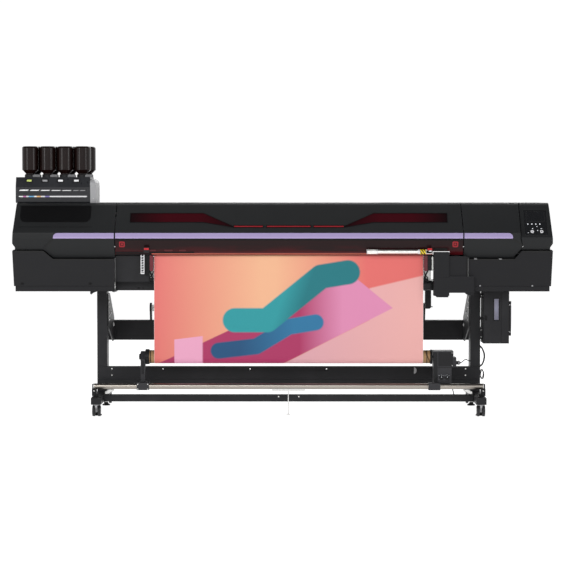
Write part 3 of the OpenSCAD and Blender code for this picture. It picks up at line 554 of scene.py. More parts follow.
# The record's material slot of each finish, where its piece names no other.
USUAL_SLOTS = {
    GREY_PLASTIC: "grey_plastic", LOWER_CHARCOAL: "charcoal_cover", BRIGHT: "bright_steel",
    DARK_PLASTIC: "dark_plastic", RUBBER: "black_rubber", MID_PLASTIC: "dark_plastic", PALE_PLASTIC: "bar_silver",
    HUB_GREY: "grey_plastic", BLACK_PAINT: "black_paint", TANK: "grey_plastic",
}


# ---------------------------------------------------------------- geometry

AXES = {"x": (1, 2, 0), "y": (2, 0, 1), "z": (0, 1, 2)}


def rounded(u0, u1, v0, v1, radius, steps=5):
    """A rectangle's outline with round corners; radius is one value, or one each from lower left, anticlockwise."""
    radii = radius if isinstance(radius, tuple) else (radius,) * 4
    corners = [(u0, v0, 1, 1, 180), (u1, v0, -1, 1, 270), (u1, v1, -1, -1, 0), (u0, v1, 1, -1, 90)]
    points = []
    for (u, v, du, dv, start), r in zip(corners, radii):
        if r <= 0:
            points.append((u, v))
            continue
        for i in range(steps + 1):
            a = math.radians(start + 90 * i / steps)
            points.append((u + du * r + r * math.cos(a), v + dv * r + r * math.sin(a)))
    return points


class Shape:
    """Geometry in mm, gathered into one piece."""

    def __init__(self):
        self.bm = bmesh.new()

    def walls(self, rings, closed=False):
        """Walls between rings of points, with both ends capped unless the rings close on themselves."""
        count, sides = len(rings), len(rings[0])
        verts = [[self.bm.verts.new(Vector(p) * MM) for p in ring] for ring in rings]
        for i in range(count if closed else count - 1):
            low, high = verts[i], verts[(i + 1) % count]
            for k in range(sides):
                self.bm.faces.new((low[k], low[(k + 1) % sides], high[(k + 1) % sides], high[k]))
        if not closed:
            self.bm.faces.new(verts[0][::-1])
            self.bm.faces.new(verts[-1])
        return self

    def plate(self, outline, place, low, high):
        """An outline raised from low to high on a face."""
        return self.walls([[place(u, v, out) for u, v in outline] for out in (low, high)])

    def framed(self, place, outer, inner, levels):
        """A frame between two outlines on a face: up outside and down inside, at four levels."""
        return self.walls([[place(u, v, out) for u, v in line]
                           for line, out in zip((outer, outer, inner, inner), levels)], closed=True)

    def box(self, x0, x1, y0, y1, z0, z1):
        return self.walls([[(x0, y0, z), (x1, y0, z), (x1, y1, z), (x0, y1, z)] for z in (z0, z1)])

    def turned(self, axis, at, profile, sides=32, closed=False):
        """A profile of (radius, distance along) turned about an axis through the point at."""
        a, b, c = AXES[axis]
        rings = []
        for radius, along in profile:
            ring = []
            for k in range(sides):
                turn = 2 * math.pi * k / sides
                point = list(at)
                point[a] += radius * math.cos(turn)
                point[b] += radius * math.sin(turn)
                point[c] += along
                ring.append(point)
            rings.append(ring)
        return self.walls(rings, closed)

    def rod(self, axis, at, radius, length, sides=32, edge=0.6):
        """A round bar with softened ends."""
        edge = min(edge, radius * 0.4, abs(length) * 0.4) * (1 if length > 0 else -1)
        soft = abs(edge)
        return self.turned(axis, at, [(radius - soft, 0), (radius, edge), (radius, length - edge),
                                      (radius - soft, length)], sides)

    def ring(self, axis, at, inner, outer, length, sides=40):
        return self.turned(axis, at, [(inner, 0), (outer, 0), (outer, length), (inner, length)], sides, closed=True)

    def wire(self, path, radius, sides=10):
        """A round wire along a path of points."""
        points = [Vector(p) for p in path]
        rings = []
        side = None
        for i, point in enumerate(points):
            ahead = (points[min(i + 1, len(points) - 1)] - points[max(i - 1, 0)]).normalized()
            if side is None:
                side = ahead.orthogonal().normalized()
            side = (side - ahead * side.dot(ahead)).normalized()
            up = ahead.cross(side)
            rings.append([point + radius * (side * math.cos(t) + up * math.sin(t))
                          for t in (2 * math.pi * k / sides for k in range(sides))])
        return self.walls(rings)

    def screw(self, place, u, v, radius=5.0, height=2.2, sides=24):
        """A pan head with a hexagon socket, on a face."""
        def circle(r, out, n=sides):
            return [place(u + r * math.cos(2 * math.pi * k / n), v + r * math.sin(2 * math.pi * k / n), out)
                    for k in range(n)]
        profile = [(radius, 0), (radius, height * 0.55), (radius * 0.82, height), (radius * 0.5, height),
                   (radius * 0.45, height * 0.35)]
        return self.walls([circle(r, out) for r, out in profile])

    def screws(self, place, spots, *size):
        """The same screw at each spot."""
        for u, v in spots:
            self.screw(place, u, v, *size)
        return self

    def piece(self, name, material, bevel=0.5, body="frame", slot="usual", segments=2, smooth=35):
        """Ends the shape: one named object that rides on a body."""
        if slot == "usual":
            slot = USUAL_SLOTS.get(material)
        bmesh.ops.recalc_face_normals(self.bm, faces=self.bm.faces)
        mesh = bpy.data.meshes.new(name)
        self.bm.to_mesh(mesh)
        self.bm.free()
        mesh.polygons.foreach_set("use_smooth", [True] * len(mesh.polygons))
        mesh.set_sharp_from_angle(angle=math.radians(smooth))
        mesh.materials.append(material)
        made = bpy.data.objects.new(name, mesh)
        bpy.context.scene.collection.objects.link(made)
        if bevel:
            soften(made, bevel, segments)
        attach(made, body)
        return made


def soften(thing, width, segments=2, angle=40):
    bevel = thing.modifiers.new("edges", "BEVEL")
    bevel.width = width * MM
    bevel.segments = segments
    bevel.limit_method = "ANGLE"
    bevel.angle_limit = math.radians(angle)
    bevel.harden_normals = True
    return bevel


# ---------------------------------------------------------------- the CAD nodes' finishes

FINISHES = {
    CHARCOAL: ["front_cover", "left_service_cover", "right_service_cover", "control_housing", "rear_cover"],
    LOWER_CHARCOAL: ["left_lower_cover", "right_lower_cover", "drive_cover"],
    FASCIA: ["ink_station"],
    GREY_PLASTIC: ["ink_side_housing"],
    BROWN: ["ink_bottles"],
    SMOKED: ["front_windows"],
    DARK_PLASTIC: ["capping_station", "carriage", "core_chucks", "wind_knob", "direction_knob"],
    SCREEN: ["display_panel"],
    MID_PLASTIC: ["takeup_arm", "takeup_drive"],
    PALE_PLASTIC: ["enter_button", "stop_button"],
    STEEL: ["support_tube"],
    BRIGHT: ["tube_prop", "stand_bolts", "platen"],
    RAIL: ["carriage_rail"],
    ROLLER: ["feed_roller"],
    RUBBER: ["pinch_rollers", "levelling_foot_fl", "levelling_foot_fr", "levelling_foot_rl", "levelling_foot_rr"],
    SILVER: ["static_bar"],
    JACKET: ["held_cables"],
    BLANK: ["supply_roll"],
    KRAFT: ["takeup_core"],
    TREAD: ["caster_wheels_fl", "caster_wheels_fr", "caster_wheels_rl", "caster_wheels_rr"],
    HUB_GREY: ["caster_fork_fl", "caster_fork_fr", "caster_fork_rl", "caster_fork_rr"],
}
EDGES = {1.6: ["front_cover", "left_service_cover", "right_service_cover", "control_housing", "rear_cover",
               "left_lower_cover", "right_lower_cover", "drive_cover", "ink_station", "ink_side_housing",
               "takeup_drive", "waste_cabinet", "left_leg", "right_leg", "lower_crossbeam", "rear_beam",
               "tie_beam", "chassis_beam", "carriage"]}


def finish_nodes():
    chosen = {name: material for material, names in FINISHES.items() for name in names}
    for name, node in nodes.items():
        material = chosen.get(name, BLACK_PAINT)
        node.data.materials.clear()
        node.data.materials.append(material)
    for width, names in EDGES.items():
        for name in names:
            weld = nodes[name].modifiers.new("weld", "WELD")
            weld.merge_threshold = 0.00002
            soften(nodes[name], width, angle=32)


# ---------------------------------------------------------------- front of the covers

STRIP_END_L = MID_X - 1394
STRIP_END_R = MID_X + 1326


def accent_strips():
    """The lavender strip round the nose, one length on each cover, with round outer ends."""
    nose = on_front(NOSE_Y)
    low, high = NOSE_LOW + 1.5, NOSE_TOP - 1
    for name, body, outline in (
        ("accent_strip_left", "left_service_cover", rounded(STRIP_END_L, SEAM_L - 4, low, high, (5, 0, 0, 26))),
        ("accent_strip_centre", "front_cover", rounded(SEAM_L + 4, SEAM_R - 4, low, high, 0)),
        ("accent_strip_right", "right_service_cover", rounded(SEAM_R + 4, STRIP_END_R, low, high, (0, 5, 26, 0))),
    ):
        Shape().plate(outline, nose, 0.1, 2.6).piece(
            name, LAVENDER, 0.9, body=body, slot="charcoal_cover", segments=3)
        rim = Shape()
        rim.plate(rounded(min(p[0] for p in outline), max(p[0] for p in outline), low - 2.6, low - 0.4, 0.4, 2),
                  nose, 0.05, 1.6)
        rim.piece(name + "_rim", RUBBER, 0.2, body=body)


def red_lines():
    """Short red light lines near the foot of the slope."""
    lines = Shape()
    for x0, x1 in ((-287, -116), (-92, 166), (186, 363)):
        lines.plate(rounded(x0, x1, NOSE_TOP + 34, NOSE_TOP + 40, 2.5, 3), on_slope, 0.05, 1.2)
    lines.piece("red_light_lines", RED_TRIM, 0.3, body="front_cover")
    seat = Shape()
    for x0, x1 in ((-293, -110), (-98, 172), (180, 369)):
        seat.plate(rounded(x0, x1, NOSE_TOP + 29, NOSE_TOP + 45, 4, 3), on_slope, 0.02, 0.5)
    seat.piece("red_light_seats", DARK_PANEL, 0.2, body="front_cover")


def stroke(a, b, half):
    """The outline of a straight line from a to b."""
    along = (Vector(b) - Vector(a)).normalized()
    across = Vector((-along.y, along.x)) * half
    return [Vector(a) - across, Vector(b) - across, Vector(b) + across, Vector(a) + across]


def slot_frames():
    """Thin dark frames round the two slots in the slope."""
    frames = Shape()
    for side in (-1, 1):
        outer = [(942, 115), (505, 115), (332, 40), (332, 32), (505, 61), (942, 61)]
        for (u0, v0), (u1, v1) in zip(outer, outer[1:] + outer[:1]):
            frames.plate([(MID_X + side * c.x, NOSE_TOP + c.y) for c in stroke((u0, v0), (u1, v1), 1.6)],
                         on_slope, 0.05, 0.9)
    frames.piece("slot_frames", DARK_PANEL, 0.2, body="front_cover")


def window_trim():
    """The window's lower edge, a salmon line of painted highlight with a faint painted glow, its red markers, and the
    seams round it.
    """
    left, right = SEAM_L + 5, MID_X + 851
    for name, material, bevel, x0, x1, z0, z1, low, high in (
        # the lower edge: painted highlight along the window's bottom
        ("lower_edge_highlight", WINDOW_EDGE_HIGHLIGHT, 0.5, MID_X - 812, right, WINDOW_Z + 3, WINDOW_Z + 9, 0.1, 2.2),
        ("lower_lip", DARK_PANEL, 0.5, left, MID_X - 814, WINDOW_Z + 1, WINDOW_Z + 9, 0.1, 2.0),
        ("red_line", RED_DIM, 0.4, MID_X - 560, MID_X + 460, WINDOW_Z + 12, WINDOW_Z + 20, 1.5, 2.6),
        ("lower_rail", DARK_PANEL, 0.4, left, right, WINDOW_Z + 11, WINDOW_Z + 19, 0.1, 1.4),
        ("upper_rail", DARK_PANEL, 0.4, left, SEAM_R - 5, NOSE_LOW - 9, NOSE_LOW - 2, 0.1, 1.6),
    ):
        strip = Shape().plate(rounded(x0, x1, z0, z1, 2, 2), on_tuck, low, high)
        strip.piece("window_" + name, material, bevel, body="front_cover")
    for name, x in (("left_marker", -950), ("right_marker", 1023)):
        frame_part = Shape()
        outer = rounded(x - 17, x + 17, NOSE_LOW - 50, NOSE_LOW - 16, 7)
        inner = rounded(x - 10, x + 10, NOSE_LOW - 43, NOSE_LOW - 23, 4)
        frame_part.framed(on_tuck, outer, inner, (0.1, 1.8, 1.8, 0.1))
        frame_part.plate(rounded(x - 6, x + 6, NOSE_LOW - 39, NOSE_LOW - 27, 3), on_tuck, 0.1, 1.5)
        frame_part.piece("window_" + name, RED_TRIM, 0.3, body="front_cover")


def cover_shadow_gaps():
    """Black strips of painted shadow along the gaps round the lower covers, the tabs in them, and dark lines of
    painted shadow that lead down to them.
    """
    tip_l, foot_l = SEAM_L - 423, SEAM_L - 366
    tip_r, foot_r = SEAM_C + 8, SEAM_C - 35
    waist, foot = WAIST_Z - 6.5, COVER_Z - 6.5
    # Black strips of painted shadow along the gaps round the lower covers.
    for name, end, tip, low, inner, y in (
        ("left", -HALF_W + 16, tip_l, foot_l, SEAM_L - 4, LOWER_LEFT_LOW[1]),
        ("right", HALF_W - 16, tip_r, foot_r, SEAM_R + 32, LOWER_RIGHT_LOW[1]),
    ):
        line = [(end, waist), (tip, waist), (low, foot), (inner, foot)]
        under = [(x + (4 if 0 < i < 3 else 0) * (1 if name == "left" else -1), z - 9) for i,
            (x, z) in enumerate(line)]
        Shape().plate(line + under[::-1], on_front(y), 0.1, 0.9).piece(name + "_cover_shadow_gap", RUBBER, 0.3)
    tabs = Shape()
    for x in (1143, 1289):
        tabs.plate(rounded(x - 9, x + 9, COVER_Z - 9, COVER_Z - 4.5, 2), on_front(LOWER_RIGHT_LOW[1]), 1.0, 3.2)
    tabs.piece("service_cover_tabs", GREY_PLASTIC, 0.6)
    # Dark lines of painted shadow along the slanted edges, leading down to the gaps.
    for name, a, b in (("right", (MID_X + 1323, NOSE_LOW - 2), (SEAM_C + 4, NOSE_LOW - 42)),
                       ("left", (-1359, NOSE_LOW - 2), (-1411, WAIST_Z + 6))):
        Shape().plate(stroke(a, b, 4.2), on_tuck, 0.05, 0.5).piece(
            name + "_hex_shadow_line", RUBBER, 0.15, body=name + "_service_cover", slot=None)


def left_cover_painted_shade():
    """Painted shade on the left service cover: a darker plate below the ink station for the station's shadow and
    reflection on the slope, and a dark line for the shade along a slight crease below it.
    """
    # A darker plate as painted shade: the ink station's shadow and reflection on the slope.
    Shape().plate(rounded(MID_X - 1598, MID_X - 1176, NOSE_TOP + 62, TOP_Z - 17, (34, 34, 4, 4)),
                          on_slope, 0.05, 1.0).piece(
                              "left_painted_shade_patch", DARK_PANEL, body="left_service_cover", slot="charcoal_cover")
    # A thin dark line as painted shade along a slight crease in the cover.
    Shape().plate(rounded(MID_X - 1600, SEAM_L - 140, NOSE_TOP + 33, NOSE_TOP + 35, 0.8, 2),
                           on_slope, 0.02, 0.5).piece(
                               "left_cover_crease_shade", DARK_PANEL, 0.15, body="left_service_cover")


def lower_cover_details():
    left, right = on_front(LOWER_LEFT_LOW[1]), on_front(LOWER_RIGHT_LOW[1])
    Shape().plate(rounded(-HALF_W + 21, SEAM_L - 6, BASE_Z + 2, BASE_Z + 30, (4, 4, 9, 9)), left, 0.1, 3.0).piece(
        "left_cover_lip", LOWER_CHARCOAL, 1.1, segments=3)
    Shape().plate(rounded(SEAM_R + 36, HALF_W - 21, BASE_Z + 2, BASE_Z + 30, (4, 4, 9, 9)), right, 0.1, 3.0).piece(
        "right_cover_lip", LOWER_CHARCOAL, 1.1, segments=3)
    screws = Shape().screws(right, [(x, BASE_Z + 33) for x in (1170, 1479)], 5.2, 2.6)
    screws.piece("right_cover_screws", GREY_PLASTIC, 0.3, slot="bright_steel")
    clips = Shape()
    for x in (-1540, -1139):
        clips.plate(rounded(x - 9, x + 9, BASE_Z + 40, BASE_Z + 52, 4), left, 0.1, 2.4)
        clips.screw(left, x, BASE_Z + 46, 3.6, 3.4)
    clips.piece("left_cover_clips", DARK_PANEL, 0.4, slot="charcoal_cover")
    # A small bright steel piece in the left seam that stands in for a painted highlight where light catches the seam.
    seam_glint = Shape().box(SEAM_L - 1.4, SEAM_L + 1.4, LOWER_LEFT_LOW[1] + 18, LOWER_LEFT_LOW[1] + 30, BASE_Z + 12,
                        BASE_Z + 52)
    seam_glint.plate(rounded(SEAM_L - 3, SEAM_L + 4, BASE_Z + 22, BASE_Z + 30, 2), on_front(LOWER_LEFT_LOW[1] + 18),
                0, 3)
    seam_glint.piece("left_seam_highlight", BRIGHT, 0.4)


# ---------------------------------------------------------------- control panel

def control_panel():
    x0, x1 = PANEL_LOW[0] + 6, PANEL_HIGH[0] - 6
    Shape().plate(rounded(x0 + 17, x1 - 15, -130, -62, 3), on_panel, -3.9, -2.6).piece(
        "display_glass", SCREEN, slot="panel_gloss")
    bezel = Shape()
    outer, inner = rounded(x0 + 9, x1 - 8, -138, -55, 5), rounded(x0 + 17.6, x1 - 15.6, -129, -63, 3)
    bezel.framed(on_panel, outer, inner, (-3.9, -2.9, -2.9, -3.9))
    bezel.piece("display_bezel", DARK_PLASTIC, 0.3)
    # A black strip along the top of the display's inset: painted shadow.
    Shape().plate(rounded(x0 + 3, x1 - 3, -53, -46, 2), on_panel, -3.9, -2.4).piece("display_top_shadow", RUBBER, 0.4)
    mid = (x0 + x1) / 2
    icons = Shape()
    for i in range(4):
        x = x0 + 20 + 23.8 * i
        icons.plate(rounded(x - 4, x + 4, -153.5, -145.5, 3.8), on_panel, -3.9, -3.1)
    for x, up, turn in ((mid + 7, -167.5, 90), (mid - 20, -181, 180), (mid + 31, -181, 0), (mid + 9, -194, 270)):
        arrow = [(x + r * math.cos(math.radians(turn + a)), up + r * math.sin(math.radians(turn + a)))
                 for r, a in ((5.5, 0), (4.7, 130), (2, 180), (4.7, 230))]
        icons.plate(arrow, on_panel, -3.9, -3.1)
    icons.plate(rounded(x0 + 17, x0 + 21.5, -213, -208.5, 2), on_panel, -3.9, -3.1)
    icons.piece("panel_icons", ICON_WHITE, 0.2)
    collars = Shape()
    for body in ("enter_button", "stop_button"):
        low, high = span(body)
        x = (low[0] + high[0]) / 2
        ring = [[on_panel(x + r * math.cos(t), -204 + r * math.sin(t), out)
                 for t in (2 * math.pi * k / 32 for k in range(32))]
                for r, out in ((10.6, -3.9), (13, -3.9), (13, -2.4), (12, -1.8), (10.6, -2.2))]
        collars.walls(ring, closed=True)
    collars.piece("button_collars", MID_PLASTIC, 0)
    for body, mark in (("enter_button", [(-4, -1), (-1, -4), (5, 3), (3.4, 4.4), (-1, -0.8), (-2.7, 0.6)]),
                       ("stop_button", [(-3.4, -3.4), (3.4, -3.4), (3.4, 3.4), (-3.4, 3.4)])):
        low, high = span(body)
        x = (low[0] + high[0]) / 2
        Shape().plate([(x + u, -204 + v) for u, v in mark], on_panel, -1.05, -0.7).piece(
            body + "_mark", MID_PLASTIC, 0.1, body=body, slot=None)


# ---------------------------------------------------------------- ink station

def on_deck(x, z, out):
    """The sloping front edge of the ink station's deck."""
    lean = Vector((24, 60)).normalized()
    y = STATION_LOW[1] + (z - STATION_HIGH[2] + 60) * 0.4
    return (x, y - out * lean.y, z + out * lean.x)


def ink_station_details():
    face = on_front(STATION_LOW[1])
    x0, x1 = STATION_LOW[0], STATION_HIGH[0]
    for name, z in (("upper", TOP_Z + 78), ("lower", TOP_Z + 38)):
        tray = Shape()
        outer = rounded(x0 + 12, x1 - 12, z - 13, z + 13, 6)
        inner = rounded(x0 + 17, x1 - 17, z - 8, z + 8, 4)
        tray.framed(face, outer, inner, (0.1, 3.0, 3.0, 0.1))
        tray.piece("ink_label_rail_" + name, MID_PLASTIC, 0.7)
    Shape().plate(rounded(x0 + 19, x1 - 19, TOP_Z + 34, TOP_Z + 42, 3), face, 0.1, 1.6).piece(
        "ink_colour_labels", INK_LABELS, 0.3)
    cards = Shape()
    for i in range(5):
        left = x0 + 20 + 64 * i
        high = 7 - 0.8 * i
        cards.plate([(left, TOP_Z + 72), (left + 52, TOP_Z + 72), (left + 60, TOP_Z + 72 + high),
                     (left + 9, TOP_Z + 72 + high)], face, 0.1, 2.0)
    cards.piece("ink_level_windows", WHITE_LABEL, 0.3)
    dim = Shape()
    for i in range(2):
        left = x0 + 344 + 40 * i
        dim.plate([(left, TOP_Z + 72), (left + 30, TOP_Z + 72), (left + 36, TOP_Z + 76), (left + 6, TOP_Z + 76)],
                  face, 0.1, 1.6)
    dim.piece("ink_level_windows_dim", GREY_PLASTIC, 0.3)
    for name, material, middles, half in (
        ("s", WHITE_LABEL, (-1332, -1237), 14),
        ("_grey", GREY_PLASTIC, (-1425.5,), 14.5),
        ("_lime", LIME_LABEL, (-1520,), 14),
    ):
        chips = Shape()
        for x in middles:
            chips.plate(rounded(x - half, x + half, TOP_Z + 127, TOP_Z + 138, 2), on_deck, 0.1, 2.2)
        chips.piece("bottle_chip_label" + name, material, 0.3, slot=None)
    seats = Shape()
    for x in (-1521, -1425, -1333, -1237):
        outer, inner = rounded(x - 22, x + 22, TOP_Z + 120, TOP_Z + 145, 4), rounded(
            x - 16.5, x + 16.5, TOP_Z + 124.5, TOP_Z + 140.5, 3)
        seats.framed(on_deck, outer, inner, (0.1, 2.6, 2.6, 0.1))
    seats.piece("bottle_chip_frames", DARK_PLASTIC, 0.4)
    side = Shape()
    for z in (TOP_Z + 24, TOP_Z + 100):
        side.screw(on_front(SIDE_LOW[1]), (SIDE_LOW[0] + SIDE_HIGH[0]) / 2, z, 3.4, 1.4)
    side.piece("ink_side_screws", BRIGHT, 0.2)
    Shape().box(SIDE_LOW[0] - 0.2, SIDE_LOW[0] + 1.2, STATION_LOW[1] - 0.6, STATION_LOW[1] + 8, TOP_Z + 2,
                       TOP_Z + 104).piece("ink_side_seam", RUBBER, 0.2)


BOTTLES = [(-HALF_W + 80 + 105 * i + 20 * row, (-76, 32)[row]) for row in (0, 1) for i in range(4)]


def bottle_fittings():
    """Collars, base rims and lock levers of the upside-down bottles, and grey dots of painted highlight on the
    back-row bottles' seals.
    """
    deck = STATION_HIGH[2]
    collars, highlight_dots, rims, levers = Shape(), Shape(), Shape(), Shape()
    for x, y in BOTTLES:
        collars.turned("z", (x, y, deck), [(27.4, 0.1), (34, 0.1), (34, 12), (30, 18), (27.4, 18)], closed=True)
        rims.turned("z", (x, y, deck + 183.6), [(41.4, 0.1), (41.4, 1.2), (39, 2.0), (36, 1.0), (36, 0.1)],
                    closed=True)
    # Grey dots as painted highlight on the back-row bottles' seals, seen between the front bottles.
    for x in (-1467.5, -1362.5, -1257.5):
        highlight_dots.turned("y", (x, -5.2, deck + 88), [(3.6, 2.4), (4.4, 1.6), (4.4, -2.5)], 20)
    collars.piece("bottle_collars", DARK_PLASTIC, 0.6)
    rims.piece("bottle_base_rims", BROWN, 0.2, slot="bottle_brown")
    highlight_dots.piece("bottle_highlight_dots", GREY_PLASTIC, 0.2, slot=None)
    for x, _ in BOTTLES[:4]:
        levers.plate(rounded(x + 18, x + 64, deck + 0.2, deck + 16, (2, 2, 9, 9)), on_front(-106), 0, 6)
    levers.piece("bottle_lock_levers", HUB_MID, 1.2, slot="grey_plastic")


# ---------------------------------------------------------------- media exit

def exit_details():
    """Edge shields, slotted plate, linkages and latches at the media's two edges."""
    comb = Shape()
    x0, x1 = MID_X - 878, MID_X - 856
    top = BASE_Z + 219
    for u in (x0, x1 - 5):
        comb.plate(rounded(u, u + 5, BASE_Z + 102, top, 2), on_front(EXIT_Y), 0.1, 1.6)
    comb.plate(rounded(x0 + 4.5, x1 - 4.5, BASE_Z + 102, BASE_Z + 108, 2), on_front(EXIT_Y), 0.1, 1.6)
    for i in range(7):
        z = BASE_Z + 110 + 15 * i
        comb.plate([(x0 + 3.5, z), (x1 - 3.5, z + 5), (x1 - 3.5, z + 10), (x0 + 3.5, z + 5)], on_front(EXIT_Y), 0.1,
            1.6)
    comb.piece("left_slotted_plate", PALE_PLASTIC, 0.3)
    Shape().plate(rounded(MID_X + 849, MID_X + 855, BASE_Z + 127, WINDOW_Z - 10, 1.5), on_front(EXIT_Y), 0.1,
        1.4).piece("right_bright_strip", SILVER, 0.3, slot="bar_silver")
    bracket = Shape().plate(rounded(MID_X - 851, MID_X - 828, BASE_Z + 92, WINDOW_Z - 2, 5), on_front(-290), 0, 3)
    bracket.screw(on_front(-293), MID_X - 840, BASE_Z + 112, 3.2, 1.6)
    bracket.piece("left_clamp_bracket", DARK_PANEL, 0.6, slot="dark_plastic")
    for name, a, b in (("left", MID_X - 825, MID_X - 804), ("right", MID_X + 802, MID_X + 824)):
        Shape().plate(rounded(a, b, BASE_Z + 118, WINDOW_Z - 4, (9, 9, 2, 2)), on_front(-287), 0, 3).piece(
            name + "_edge_shield", ACRYLIC, 0.6, slot="smoked_window")
    arms = Shape()
    for s, x in ((-1, MID_X - 812), (1, MID_X + 812)):
        arms.wire([(x - s * 8, -284, BASE_Z + 70), (x, -284, BASE_Z + 92), (x + s * 6, -284, BASE_Z + 106),
                   (x + s * 14, -284, BASE_Z + 122)], 4.5, 12)
        arms.wire([(x + s * 16, -281, BASE_Z + 76), (x - s * 2, -281, BASE_Z + 98), (x - s * 10, -281, BASE_Z + 118)],
                  3.2, 12)
        arms.rod("y", (x, -292, BASE_Z + 96), 6.5, 16)
        arms.rod("y", (x + s * 12, -290, BASE_Z + 118), 5, 14)
        arms.box(min(x - s * 10, x + s * 18), max(x - s * 10, x + s * 18), -280, -262, BASE_Z + 58, BASE_Z + 76)
    arms.piece("media_clamp_linkages", DARK_PANEL, slot="dark_plastic")
    caps = Shape()
    caps.box(MID_X - 858, MID_X - 826, -340, -330, WINDOW_Z + 12, WINDOW_Z + 46)
    caps.piece("left_latch_block", DARK_PLASTIC, 1.0, body="front_cover")
    red = Shape().box(MID_X - 855, MID_X - 826, -341.5, -331, WINDOW_Z + 30, WINDOW_Z + 42)
    red.box(MID_X + 820, MID_X + 847, -344, -334, WINDOW_Z + 28, WINDOW_Z + 40)
    red.piece("red_latch_caps", RED_CAP, 1.2, body="front_cover")
    slots = Shape()
    for x0, wide in ((-795, 46), (-700, 50), (-612, 40)):
        slots.plate(rounded(x0, x0 + wide, WINDOW_Z + 21, WINDOW_Z + 31, 4), on_tuck, 0.1, 1.0)
    slots.piece("window_red_ticks", RED_DIM, 0.2, body="front_cover")
    Shape().plate(rounded(MID_X + 862, MID_X + 940, WINDOW_Z + 25, WINDOW_Z + 40, 4), on_tuck, 0.1, 1.5).piece(
        "window_handle_slot", RUBBER, body="front_cover")


def static_bar_details():
    """Hazard sleeve, mounts, screws and emitter pins on the static bar."""
    z = BASE_Z + 235
    Shape().turned("x", (MID_X + 776, BAR_Y, z), [(13.6, 0.5), (14.6, 1.5), (14.6, 34), (13.6, 35)], 40).piece(
        "static_bar_hazard_sleeve", HAZARD, 0.2, body="front_cover")
    thin = Shape()
    for x in (MID_X + 463, MID_X + 523):
        thin.turned("x", (x, BAR_Y, z), [(14.6, -1.2), (15.4, -0.6), (15.4, 2.2), (14.6, 2.8)], 40)
    thin.turned("x", (MID_X + 764, BAR_Y, z), [(12.6, 0), (13.8, 1), (13.8, 9), (12.6, 10)], 40)
    thin.piece("static_bar_rings", PALE_PLASTIC, 0.2, body="front_cover")
    pins = Shape()
    for i in range(12):
        x = MID_X + 535 + 19.5 * i
        pins.turned("z", (x, BAR_Y, z - 14), [(1.1, 2.2), (2.6, 2.2), (2.6, 0), (1.6, -1.2)], 16)
    pins.piece("static_bar_emitters", DARK_PLASTIC, 0, body="front_cover")
    end = Shape().box(MID_X + 813, MID_X + 845, -341, -338.1, z - 9, z + 9)
    end.screw(on_front(BAR_END_Y), MID_X + 822, z, 3.6, 1.8)
    end.screw(on_front(BAR_END_Y), MID_X + 836, z, 3.6, 1.8)
    end.piece("static_bar_end_plate", DARK_PANEL, body="front_cover", slot="black_paint")
    Shape().plate(rounded(MID_X + 828, MID_X + 843, z + 1, z + 8, 1.5), on_front(BAR_END_Y), 0.1, 2.2).piece(
        "static_bar_white_tag", PALE_PLASTIC, 0.3, body="front_cover", slot=None)


def clamp_motor():
    """The small geared motor beside the drive cover."""
    y, z = -252, BASE_Z + 32
    x0 = MID_X + 799
    motor = Shape()
    motor.turned("x", (x0, y, z), [(12, -6), (12, 0), (27, 0.5), (29, 3), (29, 22), (26, 24), (26, 36), (29, 38),
                                   (29, 50), (27, 52)], 40)
    motor.box(x0 + 8, x0 + 50, y + 20, y + 52, z - 22, z + 22)
    motor.box(x0 + 14, x0 + 44, y - 34, y - 24, z - 12, z + 14)
    motor.piece("clamp_motor", DARK_PLASTIC, 0.8)
    fins = Shape()
    for i in range(5):
        fins.ring("x", (x0 + 5 + 3.4 * i, y, z), 29.1, 31.2, 1.6)
    fins.piece("clamp_motor_fins", MID_PLASTIC, 0.2)


def drive_cover_details():
    ribs = Shape()
    step = on_front(-352)
    ribs.plate(rounded(MID_X + 862, MID_X + 1092, BASE_Z - 2, BASE_Z + 84, 5), step, 0.05, 0.8)
    ribs.plate(rounded(MID_X + 862, MID_X + 945, BASE_Z + 90, BASE_Z + 228, 5), step, 0.05, 0.8)
    ribs.piece("drive_cover_faces", LOWER_CHARCOAL, 0.6)
    lip = Shape().box(MID_X + 952, MID_X + 1094, -353.5, -343, BASE_Z + 86, BASE_Z + 88.5)
    lip.box(MID_X + 951, MID_X + 1048, -344, -326, BASE_Z + 206, BASE_Z + 208)
    lip.piece("drive_cover_lips", MID_PLASTIC, slot="charcoal_cover")
    Shape().box(MID_X + 1050.5, MID_X + 1059, -323, -290, BASE_Z + 90, BASE_Z + 206).piece(
        "drive_cover_gap_seal", RUBBER)
    skirt = Shape()
    skirt.plate([(MID_X + 862, BASE_Z - 22), (MID_X + 944, BASE_Z - 22), (MID_X + 944, BASE_Z - 34),
                 (MID_X + 876, BASE_Z - 34)][::-1], on_front(-345), -60, 0)
    skirt.plate([(MID_X + 1040, BASE_Z - 7.5), (MID_X + 1095, BASE_Z - 7.5), (MID_X + 1095, BASE_Z - 22),
                 (MID_X + 1058, BASE_Z - 22)][::-1], on_front(-345), -16, 0)
    skirt.piece("drive_cover_skirts", LOWER_CHARCOAL, 0.8)


# ---------------------------------------------------------------- media

